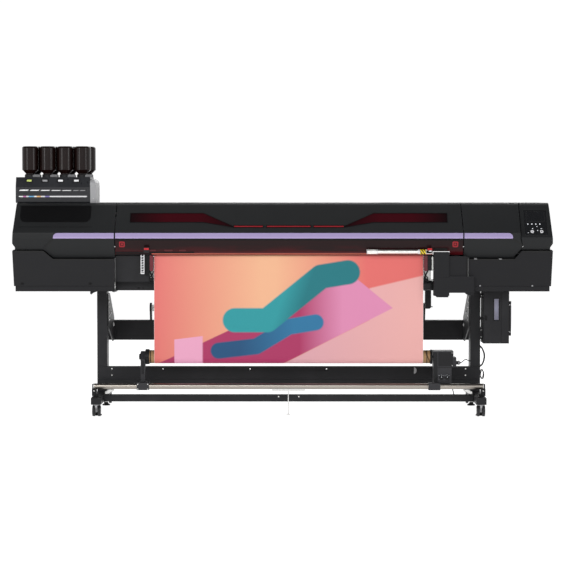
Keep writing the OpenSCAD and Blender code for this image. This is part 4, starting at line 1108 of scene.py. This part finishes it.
def media_route():
    """The media's path in the YZ plane: off the supply roll, over the platen, down, and round the core."""
    roll_low, roll_high = span("supply_roll")
    roll_y, roll_z = (roll_low[1] + roll_high[1]) / 2, (roll_low[2] + roll_high[2]) / 2
    roll_r = (roll_high[2] - roll_low[2]) / 2 + 1.2
    guide = (143, PLATEN_Z - 44)
    reach = Vector((guide[0] - roll_y, guide[1] - roll_z))
    leave = math.atan2(reach.y, reach.x) + math.acos(roll_r / reach.length)
    route = [(roll_y + roll_r * math.cos(leave), roll_z + roll_r * math.sin(leave)), guide, (118, PLATEN_Z - 22.6),
             (88, PLATEN_Z - 1.2), (64, PLATEN_Z + 0.5)]
    for i in range(9):
        a = math.radians(90 + 90 * i / 8)
        route.append((-262 + 8.5 * math.cos(a), PLATEN_Z - 8 + 8.5 * math.sin(a)))
    top, low = route[-1], (CORE_Y - CORE_R - 0.6, CORE_Z)
    for i in range(1, 12):
        route.append((top[0] + (low[0] - top[0]) * i / 12, top[1] + (low[1] - top[1]) * i / 12))
    for i in range(17):
        a = math.radians(180 + 105 * i / 16)
        route.append((CORE_Y + (CORE_R + 0.6) * math.cos(a), CORE_Z + (CORE_R + 0.6) * math.sin(a)))
    return route


def media():
    """The web of film, 0.5 mm thick, with the slightest cockle where it hangs."""
    route = media_route()
    columns = 40
    thick = 0.5
    drawn = []
    for i, (y, z) in enumerate(route):
        before, after = route[max(i - 1, 0)], route[min(i + 1, len(route) - 1)]
        ahead = Vector((after[0] - before[0], after[1] - before[1])).normalized()
        drawn.append((y, z, ahead.y, -ahead.x))
    shape = Shape()
    grid = []
    for side in (0.0, thick):
        rows = []
        for y, z, ny, nz in drawn:
            hang = max(0.0, 1 - abs(z - (PLATEN_Z + CORE_Z) / 2) / ((PLATEN_Z - CORE_Z) / 2)) if y < -260 else 0
            row = []
            for k in range(columns + 1):
                x = MEDIA_LOW[0] + (MEDIA_HIGH[0] - MEDIA_LOW[0]) * k / columns
                cockle = hang * 0.9 * math.sin(x * 0.011 + 0.4) * math.sin(z * 0.006 + x * 0.002)
                row.append(shape.bm.verts.new(Vector((x, y + side * ny - abs(cockle), z + side * nz)) * MM))
            rows.append(row)
        grid.append(rows)
    back, front = grid
    faces = shape.bm.faces
    for i in range(len(route) - 1):
        for k in range(columns):
            faces.new((back[i][k], back[i][k + 1], back[i + 1][k + 1], back[i + 1][k]))
            faces.new((front[i][k], front[i + 1][k], front[i + 1][k + 1], front[i][k + 1]))
        for k in (0, columns):
            faces.new((back[i][k], back[i + 1][k], front[i + 1][k], front[i][k]))
    for i in (0, len(route) - 1):
        for k in range(columns):
            faces.new((back[i][k], front[i][k], front[i][k + 1], back[i][k + 1]))
    web = shape.piece("printed_media", PRINT, 0, slot="printed_media", smooth=60)
    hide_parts("media_sheet")


def supply_roll_details():
    low, high = span("supply_roll")
    y, z = (low[1] + high[1]) / 2, (low[2] + high[2]) / 2
    ends = Shape()
    for x, s in ((MEDIA_LOW[0], -1), (MEDIA_HIGH[0], 1)):
        for k in range(6):
            ends.ring("x", (x, y, z), 42 + 3.6 * k, 43.6 + 3.6 * k, s * 0.5)
    ends.piece("supply_roll_windings", BLANK, 0, body="supply_roll", slot="white_media")
    cores = Shape()
    for x, s in ((MEDIA_LOW[0], -1), (MEDIA_HIGH[0], 1)):
        cores.ring("x", (x, y, z), 20.3, 40, s * 6)
    cores.piece("supply_roll_cores", KRAFT, 0.6, body="supply_roll", slot="cardboard")
    flanges = Shape()
    for x, s in ((MEDIA_LOW[0] - 7, -1), (MEDIA_HIGH[0] + 7, 1)):
        flanges.turned("x", (x, y, z), [(20.2, 0), (36, 0), (36, s * 4), (26, s * 8), (26, s * 18), (20.2, s * 18)],
                       closed=True)
    flanges.piece("supply_roll_flanges", DARK_PLASTIC, body="supply_roll")
    knobs = Shape()
    for x, s in ((low[0], 1), (high[0], -1)):
        knobs.ring("x", (x + s * 1, y, z), 20.2, 25, s * 7)
    knobs.piece("supply_shaft_collars", BRIGHT, body="supply_roll")


# ---------------------------------------------------------------- take-up

def takeup_details():
    chuck_low, chuck_high = span("core_chucks")
    grips = Shape()
    for x, s in ((CORE_LOW[0] - 1, -1), (CORE_HIGH[0] + 1, 1)):
        reach = CORE_LOW[0] - chuck_low[0] if s < 0 else chuck_high[0] - CORE_HIGH[0]
        radius = CORE_R + (4 if s < 0 else 2)
        for k in range(18):
            a = 2 * math.pi * k / 18
            y, z = CORE_Y + (radius + 0.2) * math.cos(a), CORE_Z + (radius + 0.2) * math.sin(a)
            grips.rod("x", (x + s * 2, y, z), 2.4, s * (reach - 4), 10)
    grips.piece("chuck_grips", DARK_PANEL, 0, body="takeup_core", slot="dark_plastic")
    tape = Shape().ring("x", (CORE_HIGH[0] - 22, CORE_Y, CORE_Z), CORE_R + 0.05, CORE_R + 0.6, 5)
    tape.ring("x", (CORE_LOW[0] + 5, CORE_Y, CORE_Z), CORE_R + 0.05, CORE_R + 0.6, 5)
    tape.piece("core_edge_tape", RUBBER, 0.1, body="takeup_core")
    x0 = CORE_LOW[0] - 50
    arm = Shape()
    arm.ring("x", (x0 - 0.1, CORE_Y, CORE_Z), 20, 31, -3)
    arm.turned("x", (x0 - 3, CORE_Y, CORE_Z), [(16, 0), (18, -4), (17, -9), (8, -10)])
    arm.plate(rounded(x0 + 5, x0 + 20, CORE_Z - 100, CORE_Z - 20, 5), on_front(-296), 0.1, 2)
    arm.piece("arm_lock_knob", DARK_PLASTIC, 0.8, body="takeup_arm")
    bolts = Shape()
    tube_y = (TUBE_LOW[1] + TUBE_HIGH[1]) / 2
    for x in (x0 - 12, x0 + 46):
        for z in (TUBE_LOW[2] + 2, TUBE_HIGH[2] - 3):
            bolts.screw(on_front(tube_y - 25), x, z, 4, 2)
    bolts.piece("arm_clamp_bolts", BRIGHT, 0.2, body="takeup_arm")


def takeup_drive_details():
    x0, z0 = MID_X + 861, (TUBE_LOW[2] + TUBE_HIGH[2]) / 2
    face = on_front(DRIVE_FACE_Y)
    seams = Shape()
    seams.box(x0 + 2, x0 + 104, -301.2, -300.1, z0 + 107, z0 + 110)
    seams.plate(rounded(x0 + 28, x0 + 114, z0 + 116, z0 + 200, 5), face, 0.1, 1.0)
    seams.plate(rounded(x0 + 3, x0 + 22, z0 + 22, z0 + 200, 6), face, 0.1, 2.2)
    seams.piece("takeup_drive_faces", DARK_PLASTIC, 0.6)
    Shape().plate(rounded(x0 + 26, x0 + 87, z0 + 32, z0 + 67, 3), on_front(-303), 0.05, 1.0).piece(
        "switch_plate_face", HUB_DARK, 0.4, slot="dark_plastic")
    marks = Shape()
    for x in (x0 + 45, x0 + 79):
        for a in (45, 90, 135):
            r0, r1 = 14, 17.5
            u0, v0 = x + r0 * math.cos(math.radians(a)), z0 + 49 + r0 * math.sin(math.radians(a))
            u1, v1 = x + r1 * math.cos(math.radians(a)), z0 + 49 + r1 * math.sin(math.radians(a))
            across = Vector((v1 - v0, u0 - u1)).normalized() * 0.7
            marks.plate([(u0 - across.x, v0 - across.y), (u1 - across.x, v1 - across.y),
                         (u1 + across.x, v1 + across.y), (u0 + across.x, v0 + across.y)], on_front(-304), 0.02, 0.4)
    marks.piece("switch_position_marks", ICON_WHITE, 0.05)
    for name, x in (("wind_knob", x0 + 45), ("direction_knob", x0 + 79)):
        Shape().plate(rounded(x - 0.8, x + 0.8, z0 + 50, z0 + 59, 0.6, 2), on_front(-328), 0.02, 0.5).piece(
            name + "_pointer", ICON_WHITE, 0.1, body=name)
        knurl = Shape()
        for k in range(24):
            a = 2 * math.pi * k / 24
            knurl.rod("y", (x + 12 * math.cos(a), -321, z0 + 49 + 12 * math.sin(a)), 0.8, 15, 8, edge=0.2)
        knurl.piece(name + "_knurl", DARK_PLASTIC, 0, body=name)
    plug = Shape()
    at = (x0 + 136, CORE_Y, z0 + 132)
    plug.turned("x", (at[0] + 15, at[1], at[2]), [(11.1, 0), (13.2, 0.5), (13.2, 6), (11.1, 6.5)], closed=True)
    plug.piece("lead_connector_ring", GREY_PLASTIC, 0.3, slot="bright_steel")
    Shape().turned("x", (at[0] + 24, at[1], at[2]), [(2.7, 0.2), (7, 0.2), (5.5, 3), (3.6, 6.5), (2.7, 7)],
                           24, closed=True).piece("lead_strain_relief", RUBBER, 0.3)
    screws = Shape().screws(face, ((x0 + 110, z0 + 195), (x0 + 110, z0 + 121), (x0 + 100, z0 + 12)), 3.4, 2.8)
    screws.piece("takeup_drive_screws", BRIGHT, 0.2)


# ---------------------------------------------------------------- stand

def stand_details():
    washers, heads = Shape(), Shape()
    for side in (-1, 1):
        x = MID_X + side * (LEG_X - COLUMN_HALF - 6)
        for y, z in ((35, BASE_Z - 75), (45, BASE_Z - 160), (165, BASE_Z - 150), (330, BASE_Z - 240)):
            washers.ring("x", (x - side * 0.1, y, z), 8, 13, -side * 1.6)
            heads.turned("x", (x, y, z), [(7.4, 0), (7.4, -side * 4.5), (6.4, -side * 5.5), (3.6, -side * 5.5),
                                          (3.2, -side * 2.0)], 24)
        for z in (BASE_Z - 58, BASE_Z - 32):
            heads.turned("x", (x, -14, z), [(5.4, 0), (5.4, -side * 3.4), (4.4, -side * 4.2), (2.6, -side * 4.2),
                                            (2.2, -side * 1.6)], 24)
    washers.piece("gusset_washers", BRIGHT, 0.2)
    heads.piece("gusset_bolts", PALE_PLASTIC, 0.2, slot="bright_steel")
    # A grey strip along the rear beam's fold: painted highlight where the fold catches the light.
    fold_highlight = Shape()
    inner_l, inner_r = MID_X - LEG_X + COLUMN_HALF + 8, MID_X + LEG_X - COLUMN_HALF - 8
    fold_highlight.box(inner_l, inner_r, 398.5, 400, BASE_Z - 301, BASE_Z - 297)
    fold_highlight.piece("rear_beam_fold_highlight", HUB_MID, 0.8, slot="black_paint")
    Shape().box(inner_l, inner_r, 399, 400, BASE_Z - 316, BASE_Z - 311).piece("rear_beam_groove", RUBBER, 0.3)
    hangers = Shape()
    hangers.plate([(MID_X - 1060, BASE_Z - 0.5), (MID_X - 1026, BASE_Z - 0.5), (MID_X - 1030, BASE_Z - 8),
                   (MID_X - 1046, BASE_Z - 14), (MID_X - 1060, BASE_Z - 12)][::-1], on_front(-150), -4, 0)
    hangers.box(MID_X - 1060, MID_X - 1026, -150, -110, BASE_Z - 4, BASE_Z - 0.3)
    hangers.piece("left_chassis_bracket", HUB_GREY, 0.6, slot="bright_steel")
    hook = Shape()
    hook.plate([(MID_X - 1178, BASE_Z - 0.5), (MID_X - 1134, BASE_Z - 0.5), (MID_X - 1160, BASE_Z - 10),
                (MID_X - 1170, BASE_Z - 20), (MID_X - 1178, BASE_Z - 16)][::-1], on_front(DRIVE_FACE_Y), -5, 0)
    hook.piece("left_tie_hook", BLACK_PAINT, 0.7)
    straps = Shape()
    for side in (-1, 1):
        x = MID_X + side * (LEG_X - COLUMN_HALF)
        base = [(8, 138), (24, 146), (36, 152), (60, 150), (60, 140), (44, 138), (30, 128), (14, 126), (8, 128)]
        outline = [(x - side * (u + 5), v) for u, v in base]
        straps.plate(outline, on_front(-344), -24, 0)
        straps.screw(on_front(-344), x - side * 21, 135, 4.2, 2.2)
        straps.screw(on_front(-346), x - side * 56, 145, 3.6, 2.2)
    straps.piece("tube_stay_straps", BRIGHT, 0.6)
    holes = Shape()
    for x in (MID_X - 763, MID_X - 234, MID_X + 230):
        holes.turned("y", (x, -58, 246), [(5.6, -1.0), (7, -0.7), (7, 0), (5.6, 0)], 28, closed=True)
    holes.piece("crossbeam_grommets", DARK_PLASTIC, 0.2, slot="grey_plastic")
    hook = Shape()
    cx, cz = MID_X + 762, 240
    drop = [(cx + r * math.cos(math.radians(a)), cz + h * math.sin(math.radians(a)))
            for a in range(-90, 91, 15) for r, h in ((13, 19),)]
    hook.plate([(cx - 3, cz - 19)] + drop + [(cx - 3, cz + 19)], on_front(CROSSBEAM_FACE_Y), 0.1, 7)
    hook.piece("lead_hook", HUB_GREY, 2.0, segments=4)
    Shape().plate(rounded(cx - 20, cx + 20, cz - 25, cz + 20, 8), on_front(CROSSBEAM_FACE_Y), 0.05, 1.6).piece(
        "lead_hook_plate", DARK_PLASTIC)
    rod_path = [(MID_X + 972, -330, 151), (MID_X + 977, -322, 134), (MID_X + 981, -310, 118),
        (MID_X + 983, -300, 110)]
    Shape().wire(rod_path, 3.0, 12).piece("tube_stay_wire", DARK_PLASTIC, 0, slot="black_paint")
    caps = Shape()
    for side in (-1, 1):
        x = MID_X + side * 1151
        y, z = (TUBE_LOW[1] + TUBE_HIGH[1]) / 2, (TUBE_LOW[2] + TUBE_HIGH[2]) / 2
        caps.turned("x", (x, y, z), [(12, 0.2), (17.2, 0.2), (17.2, side * 3), (14, side * 4.5), (6, side * 4.5)], 32)
        for dz in (-1, 1):
            caps.screw(on_front(-366), x, z + dz * 19 - 6 * (dz < 0), 4.2, 2.4)
    caps.piece("tube_end_caps", BRIGHT, 0.3)


def caster_details():
    for key, sx, sy in (("fl", -1, -450), ("fr", 1, -450), ("rl", -1, 300), ("rr", 1, 300)):
        x = MID_X + sx * LEG_X
        hubs = Shape()
        for s in (-1, 1):
            hubs.turned("x", (x + s * 24.4, sy + 20, 34.5),
                [(4.2, 0), (16, 0), (16, s * 0.9), (11, s * 1.6), (9, s * 0.9),
                                                           (4.2, s * 0.9)], 32, closed=True)
            for k in range(6):
                a = math.radians(60 * k + 20)
                hubs.rod("x", (x + s * 24.5, sy + 20 + 12.8 * math.cos(a), 34.5 + 12.8 * math.sin(a)), 1.5, s * 1.2,
                    12)
        hubs.piece("caster_hubs_" + key, HUB_GREY, 0.2, body="caster_wheels_" + key)
        cap = Shape()
        cap.rod("z", (x, sy, 73.6), 10, 4.2, 24, edge=1.2)
        cap.piece("caster_bearing_" + key, BRIGHT, 0.2, body="caster_fork_" + key)
        brake = Shape()
        brake.plate([(sy - 20, 60), (sy - 18, 69), (sy + 2, 69.3), (sy + 2, 66), (sy - 14, 57), (sy - 20, 57)],
                    on_side(x, 1), -5.5, 5.5)
        brake.piece("caster_neck_" + key, HUB_GREY, 1.0, body="caster_fork_" + key)
        ly = -360 if sy < 0 else 210
        nut = Shape()
        for z0, z1 in ((66.5, 73.4), (21, 28)):
            hexagon = [(x + 10.5 * math.cos(math.radians(60 * k)), ly + 10.5 * math.sin(math.radians(60 * k)))
                       for k in range(6)]
            hole = [(x + 6.15 * math.cos(math.radians(60 * k)), ly + 6.15 * math.sin(math.radians(60 * k)))
                    for k in range(6)]
            nut.walls([[(u, v, z) for u, v in line] for line, z in
                       ((hexagon, z0), (hexagon, z1), (hole, z1), (hole, z0))], closed=True)
        nut.piece("leveller_nuts_" + key, BRIGHT, 0.6, body="levelling_foot_" + key)


# ---------------------------------------------------------------- waste ink cabinet

def feed_motor():
    """The roller drive motor under the chassis, behind the right edge of the web."""
    x0, x1 = MID_X + 828, MID_X + 862
    body = Shape().plate(rounded(x0, x1, BASE_Z - 118, BASE_Z - 0.5, (3, 14, 2, 2)), on_front(-60), -76, 0)
    for k in range(5):
        body.plate(rounded(x0 + 3, x1 - 3, BASE_Z - 100 + 18 * k, BASE_Z - 94 + 18 * k, 2), on_front(-60), 0, 1.6)
    body.rod("x", (x1, -20, BASE_Z - 108), 3, 12)
    body.piece("feed_motor", DARK_PLASTIC, 1.2)


def waste_details():
    left = LEVEL_X
    x0, x1 = left + 63, left + 92
    z0, z1 = CABINET_LOW[2] + 142, CABINET_LOW[2] + 270
    tank = Shape()
    front = rounded(left + 12, left + 142, CABINET_LOW[2] + 14, CABINET_LOW[2] + 286, 14)
    tank.plate(front, on_front(-138), -130, 0)
    tank.turned("z", (left + 46, -60, CABINET_LOW[2] + 286), [(24, 0), (24, 12), (21, 14), (0.5, 14)], 32)
    tank.piece("waste_tank", TANK, 3.0, segments=3)
    rim = Shape()
    outer, inner = rounded(x0 - 4, x1 + 4, z0 - 4, z1 + 4, 5), rounded(x0 + 0.5, x1 - 0.5, z0 + 0.5, z1 - 0.5, 2)
    place = on_front(DOOR_FACE_Y)
    rim.framed(place, outer, inner, (0.05, 1.8, 1.8, 0.05))
    rim.piece("level_window_rim", DARK_PANEL, 0.4, body="waste_door", slot="dark_plastic")
    Shape().plate(rounded(x0 + 0.6, x1 - 0.6, z0 + 0.6, z1 - 0.6, 2), place, -2.6, -1.4).piece(
        "level_window_pane", TANK, 0.4, body="waste_door")
    trim = Shape()
    trim.plate(rounded(x1 + 16, DOOR_HIGH[0] - 14, CABINET_LOW[2] + 4, CABINET_HIGH[2] - 6, 7), place, 0.1, 3.4)
    trim.plate(rounded(left + 6, x0 - 8, CABINET_LOW[2] + 8, CABINET_HIGH[2] - 10, (16, 4, 4, 4)), place, 0.1, 0.9)
    trim.piece("waste_door_ribs", BLACK_PAINT, 1.0, body="waste_door")
    Shape().plate(rounded(left + 8, left + 20, CABINET_LOW[2] + 140, CABINET_LOW[2] + 168, 4),
                          place, 0.9, 6).piece(
                              "waste_door_latch", DARK_PANEL, 1.2, body="waste_door", slot="dark_plastic", segments=3)
    arms = Shape().screws(on_front(-60),
        [(left - 5, z) for z in (CABINET_LOW[2] + 34, CABINET_LOW[2] + 76, CABINET_LOW[2] + 283)], 3.4, 2)
    arms.piece("cabinet_mount_screws", BRIGHT, 0.2)


def cable_details():
    clips = Shape()
    side_x = MID_X + LEG_X + COLUMN_HALF
    for z in (382, 265):
        clips.ring("x", (side_x, -20, z), 5.2, 9, 4)
    clips.ring("x", (MID_X + LEG_X - COLUMN_HALF, -26, 296), 2.7, 6, -3)
    clips.piece("cable_grommets", RUBBER, 0.4)
    spare = Shape()
    for k in range(2):
        path = []
        for i in range(41):
            t = 2 * math.pi * i / 40
            path.append((side_x + 12 + 10 * math.cos(t) + 3 * k, -26 - 5 * k, 218 + 26 * math.sin(t) - 6 * k))
        points = [Vector(p) for p in path[:-1]]
        rings = []
        for i, point in enumerate(points):
            ahead = (points[(i + 1) % len(points)] - points[i - 1]).normalized()
            side = Vector((0, 1, 0))
            up = ahead.cross(side)
            rings.append([point + 2.6 * (side * math.cos(a) + up * math.sin(a))
                          for a in (2 * math.pi * j / 10 for j in range(10))])
        spare.walls(rings, closed=True)
    spare.piece("tied_cable_loops", JACKET, 0, slot="cable_jacket")
    Shape().plate(rounded(side_x - 0.5, side_x + 8, 206, 212, 2), on_front(-38), -18, 0).piece(
        "cable_tie", PALE_PLASTIC, 0.6, slot="grey_plastic")


# ---------------------------------------------------------------- inside and behind

def carriage_details():
    low, high = CARRIAGE_LOW, CARRIAGE_HIGH
    heads = Shape()
    for i in range(3):
        x = low[0] + 62 + 60 * i
        heads.box(x, x + 40, -190, -60, low[2] - 3, low[2] + 0.2)
        heads.box(x + 8, x + 32, -180, -70, low[2] - 4.5, low[2] - 2.8)
    heads.piece("print_heads", BRIGHT, 0.4, body="carriage")
    lamps = Shape()
    for x in (low[0] + 4, high[0] - 48):
        lamps.box(x, x + 44, -228, -232 + 190, low[2] - 3, low[2] + 0.2)
        for k in range(9):
            lamps.box(x + 4, x + 40, -222 + 20 * k, -218 + 20 * k, high[2] - 0.2 if k > 2 else low[2] - 3.6,
                      high[2] + 6 if k > 2 else low[2] - 2.8)
    lamps.piece("curing_lamps", RAIL, 0.6, body="carriage", slot="rail_aluminium")
    tray = Shape()
    tray.box(low[0] + 30, high[0] - 30, -120, -40, high[2] + 0.1, high[2] + 14)
    for k in range(8):
        x = low[0] + 50 + 24 * k
        tray.turned("z", (x, -80, high[2] + 14), [(7, 0), (7, 8), (4, 9), (4, 16), (2, 16.5)], 20)
    tray.piece("damper_tray", DARK_PLASTIC, 0.8, body="carriage")
    Shape().plate(rounded(low[0] + 30, high[0] - 30, low[2] + 24, low[2] + 118, 8), on_front(low[1]), 0.1, 2).piece(
        "carriage_front_plate", DARK_PANEL, 0.8, body="carriage", slot="panel_gloss")


def rail_details():
    rail_low, rail_high = span("carriage_rail")
    belt = Shape()
    x0, x1 = rail_low[0] + 60, rail_high[0] - 60
    z = RAIL_Z + 128
    belt.box(x0, x1, 24.6, 26, z - 7, z + 7)
    pitch = 25
    for k in range(int((x1 - x0) / pitch)):
        belt.box(x0 + pitch * k + 2, x0 + pitch * k + 12, 23.6, 24.7, z - 6, z + 6)
    belt.piece("carriage_belt", RUBBER, 0)
    Shape().box(rail_low[0] + 40, rail_high[0] - 40, 28.4, 29.8, RAIL_Z + 134 + 6, RAIL_Z + 147).piece(
        "encoder_strip", PALE_PLASTIC, 0.2, slot="grey_plastic")
    pulleys = Shape()
    for x in (x0 - 6, x1 + 6):
        pulleys.turned("z", (x, 16, z - 9),
            [(4, 0), (15, 0), (15, 2), (13, 2.5), (13, 15.5), (15, 16), (15, 18), (4, 18)],
                       32)
        pulleys.box(x - 9, x + 9, 18, 30, z - 14, z - 9.2)
    pulleys.piece("belt_pulleys", BRIGHT, 0.3)
    screws = Shape().screws(on_front(22), [(rail_low[0] + 80 + 265 * k, BASE_Z + 375) for k in range(12)], 3.6, 1.6)
    screws.piece("linear_guide_screws", BRIGHT, 0.2)


def chassis_details():
    screws = Shape()
    for x in (-856, -832, MID_X - 900, MID_X + 900):
        screws.screw(on_front(CHASSIS_FACE_Y), x, BASE_Z + 14, 4.2, 2)
    for x in range(-760, 900, 160):
        screws.screw(on_front(CHASSIS_FACE_Y), x, BASE_Z + 40, 3.8, 2)
    screws.piece("chassis_screws", DARK_PANEL, 0.2, slot="black_paint")
    fold = Shape().box(SEAM_L + 8, MID_X + 855, -203, -200.1, BASE_Z + 44, BASE_Z + 52)
    fold.box(SEAM_L + 8, MID_X + 855, -202.4, -200.1, BASE_Z + 2, BASE_Z + 6)
    fold.piece("chassis_folds", BLACK_PAINT, 0.6)
    plate = Shape()
    for k in range(40):
        x = MEDIA_LOW[0] + 30 + 39.5 * k
        plate.ring("z", (x, -120, PLATEN_Z - 0.2), 2, 3.4, 0.5, 16)
    plate.piece("platen_vacuum_holes", RUBBER, 0)


def rear_details():
    back = on_back(REAR_HIGH[1])
    vents = Shape()
    for x in (-1240, -420, 500, 1290):
        for k in range(9):
            z = TOP_Z - 96 - 14 * k
            vents.plate(rounded(x - 90, x + 90, z - 3.4, z + 3.4, 3.2, 3), back, 0.05, 1.8)
    vents.piece("rear_louvres", DARK_PANEL, 0.6, slot="charcoal_cover")
    seams = Shape()
    for x in (SEAM_L, MID_X, SEAM_R):
        seams.plate(rounded(x - 1.2, x + 1.2, WAIST_Z + 6, TOP_Z - 48, 0.8, 2), back, 0.02, 0.5)
    seams.piece("rear_cover_seams", RUBBER, 0.1)
    screws = Shape()
    for x in (-1540, SEAM_L - 30, SEAM_L + 30, MID_X - 30, MID_X + 30, SEAM_R - 30, SEAM_R + 30, 1540):
        for z in (WAIST_Z + 22, TOP_Z - 66):
            screws.screw(back, x, z, 5, 2.2)
    for x0, x1 in ((LOWER_LEFT_LOW[0] + 40, LOWER_LEFT_HIGH[0] - 40),
        (LOWER_RIGHT_LOW[0] + 40, LOWER_RIGHT_HIGH[0] - 40)):
        for x in (x0, x1):
            for z in (BASE_Z + 50, WAIST_Z - 24):
                screws.screw(on_back(LOWER_LEFT_HIGH[1]), x, z, 5, 2.2)
    screws.piece("rear_screws", BRIGHT, 0.2)
    panel = Shape()
    face = on_back(LOWER_RIGHT_HIGH[1])
    outer, inner = rounded(1380, 1480, 790, 860, 6), rounded(1392, 1428, 800, 850, 4)
    panel.framed(face, outer, inner, (0.05, 3.0, 3.0, 0.05))
    panel.piece("power_inlet_frame", DARK_PLASTIC, 0.7)
    inlet = Shape().plate(rounded(1393, 1427, 801, 849, 4), face, 0.02, 0.8)
    for u, v in ((1410, 835), (1402, 817), (1418, 817)):
        inlet.plate(rounded(u - 1.6, u + 1.6, v - 3, v + 3, 0.8, 2), face, 0.8, 4.0)
    inlet.piece("power_inlet", RUBBER, 0.3, slot="dark_plastic")
    switch = Shape().plate(rounded(1444, 1468, 808, 842, 3), face, 3.0, 5.0)
    switch.plate([(1447, 812), (1465, 812), (1465, 838), (1447, 838)], face, 5.0, 7.5)
    switch.piece("main_switch", RED_CAP, 1.0, slot="dark_plastic")
    sockets = Shape()
    for k, (w, h) in enumerate(((16, 13), (16, 13), (12, 5), (12, 5))):
        x = 1180 + 34 * k
        o, i = rounded(x - w / 2 - 2, x + w / 2 + 2, 820 - h / 2 - 2, 820 + h / 2 + 2, 1.5), rounded(
            x - w / 2, x + w / 2, 820 - h / 2, 820 + h / 2, 0.8)
        sockets.framed(face, o, i, (0.05, 1.6, 1.6, 0.05))
    sockets.piece("data_sockets", BRIGHT, 0.2)
    fans = Shape()
    for cx, f in ((-1300, on_back(LOWER_LEFT_HIGH[1])), (1300, face)):
        for r in (52, 40, 28, 16):
            ring = []
            for rr, out in ((r, 0.1), (r, 2.4), (r - 4, 2.4), (r - 4, 0.1)):
                ring.append([f(cx + rr * math.cos(t), 905 + rr * math.sin(t), out) for t in
                             (2 * math.pi * k / 40 for k in range(40))])
            fans.walls(ring, closed=True)
        for a in (0, 60, 120):
            d = Vector((math.cos(math.radians(a)), math.sin(math.radians(a))))
            n = Vector((-d.y, d.x)) * 2
            fans.plate([(cx - d.x * 50 - n.x, 905 - d.y * 50 - n.y), (cx + d.x * 50 - n.x, 905 + d.y * 50 - n.y),
                        (cx + d.x * 50 + n.x, 905 + d.y * 50 + n.y), (cx - d.x * 50 + n.x, 905 - d.y * 50 + n.y)],
                       f, 0.1, 2.0)
    fans.piece("rear_fan_guards", BLACK_PAINT, 0.3)


def top_details():
    top = on_top(TOP_Z)
    seams = Shape()
    for x0, x1 in ((-1560, SEAM_L), (SEAM_L, MID_X), (MID_X, SEAM_R), (SEAM_R, 1560)):
        seams.plate(rounded(x0 + 8, x1 - 8, 120, 122.4, 0.9, 2), top, 0.02, 0.5)
    seams.piece("top_cover_creases", DARK_PANEL, 0.1, slot="charcoal_cover")
    screws = Shape().screws(top, [(x, 240) for x in (-1500, -1080, -900, -300, 340, 960, 1180, 1500)], 5, 2)
    screws.piece("top_cover_screws", BRIGHT, 0.2)
    pads = Shape()
    for x in (MID_X - 600, MID_X + 600):
        pads.plate(rounded(x - 60, x + 60, -170, -150, 6), top, 0.1, 1.2)
    pads.piece("front_cover_pads", RUBBER, 0.4, body="front_cover")


def side_details():
    grips = Shape()
    for x, s in ((LOWER_LEFT_LOW[0] + 9, -1), (LOWER_RIGHT_HIGH[0] - 9, 1)):
        for k in range(8):
            y = -140 + 22 * k
            grips.plate(rounded(y - 4, y + 4, 800, 880, 3.6, 3), on_side(x, s), 0.0, 2.0)
    grips.piece("side_vent_ribs", DARK_PANEL, 0.6, slot="charcoal_cover")


add_camera()
add_sky()
add_lights()
finish_nodes()
accent_strips()
red_lines()
slot_frames()
window_trim()
cover_shadow_gaps()
left_cover_painted_shade()
lower_cover_details()
control_panel()
ink_station_details()
bottle_fittings()
exit_details()
static_bar_details()
clamp_motor()
drive_cover_details()
media()
supply_roll_details()
takeup_details()
takeup_drive_details()
stand_details()
caster_details()
feed_motor()
waste_details()
cable_details()
carriage_details()
rail_details()
chassis_details()
rear_details()
top_details()
side_details()


def add_floor():
    """A pale floor that carries on past the horizon of the lit wall."""
    paint = Paint("floor_white")
    hue = paint.mix(paint.noise(0.4), (0.42, 0.42, 0.42), (0.46, 0.46, 0.46))
    paint.set(Base_Color=hue, Roughness=0.9, Specular_IOR_Level=0.1, Emission_Color=(1, 1, 1), Emission_Strength=0.92)
    bm = bmesh.new()
    bmesh.ops.create_circle(bm, cap_ends=True, segments=128, radius=90)
    mesh = bpy.data.meshes.new("floor")
    bm.to_mesh(mesh)
    bm.free()
    mesh.materials.append(paint.material)
    floor = bpy.data.objects.new("floor", mesh)
    floor.location = (0, 0, -0.0005)
    bpy.context.scene.collection.objects.link(floor)


add_floor()
bpy.context.scene.view_settings.view_transform = "Standard"
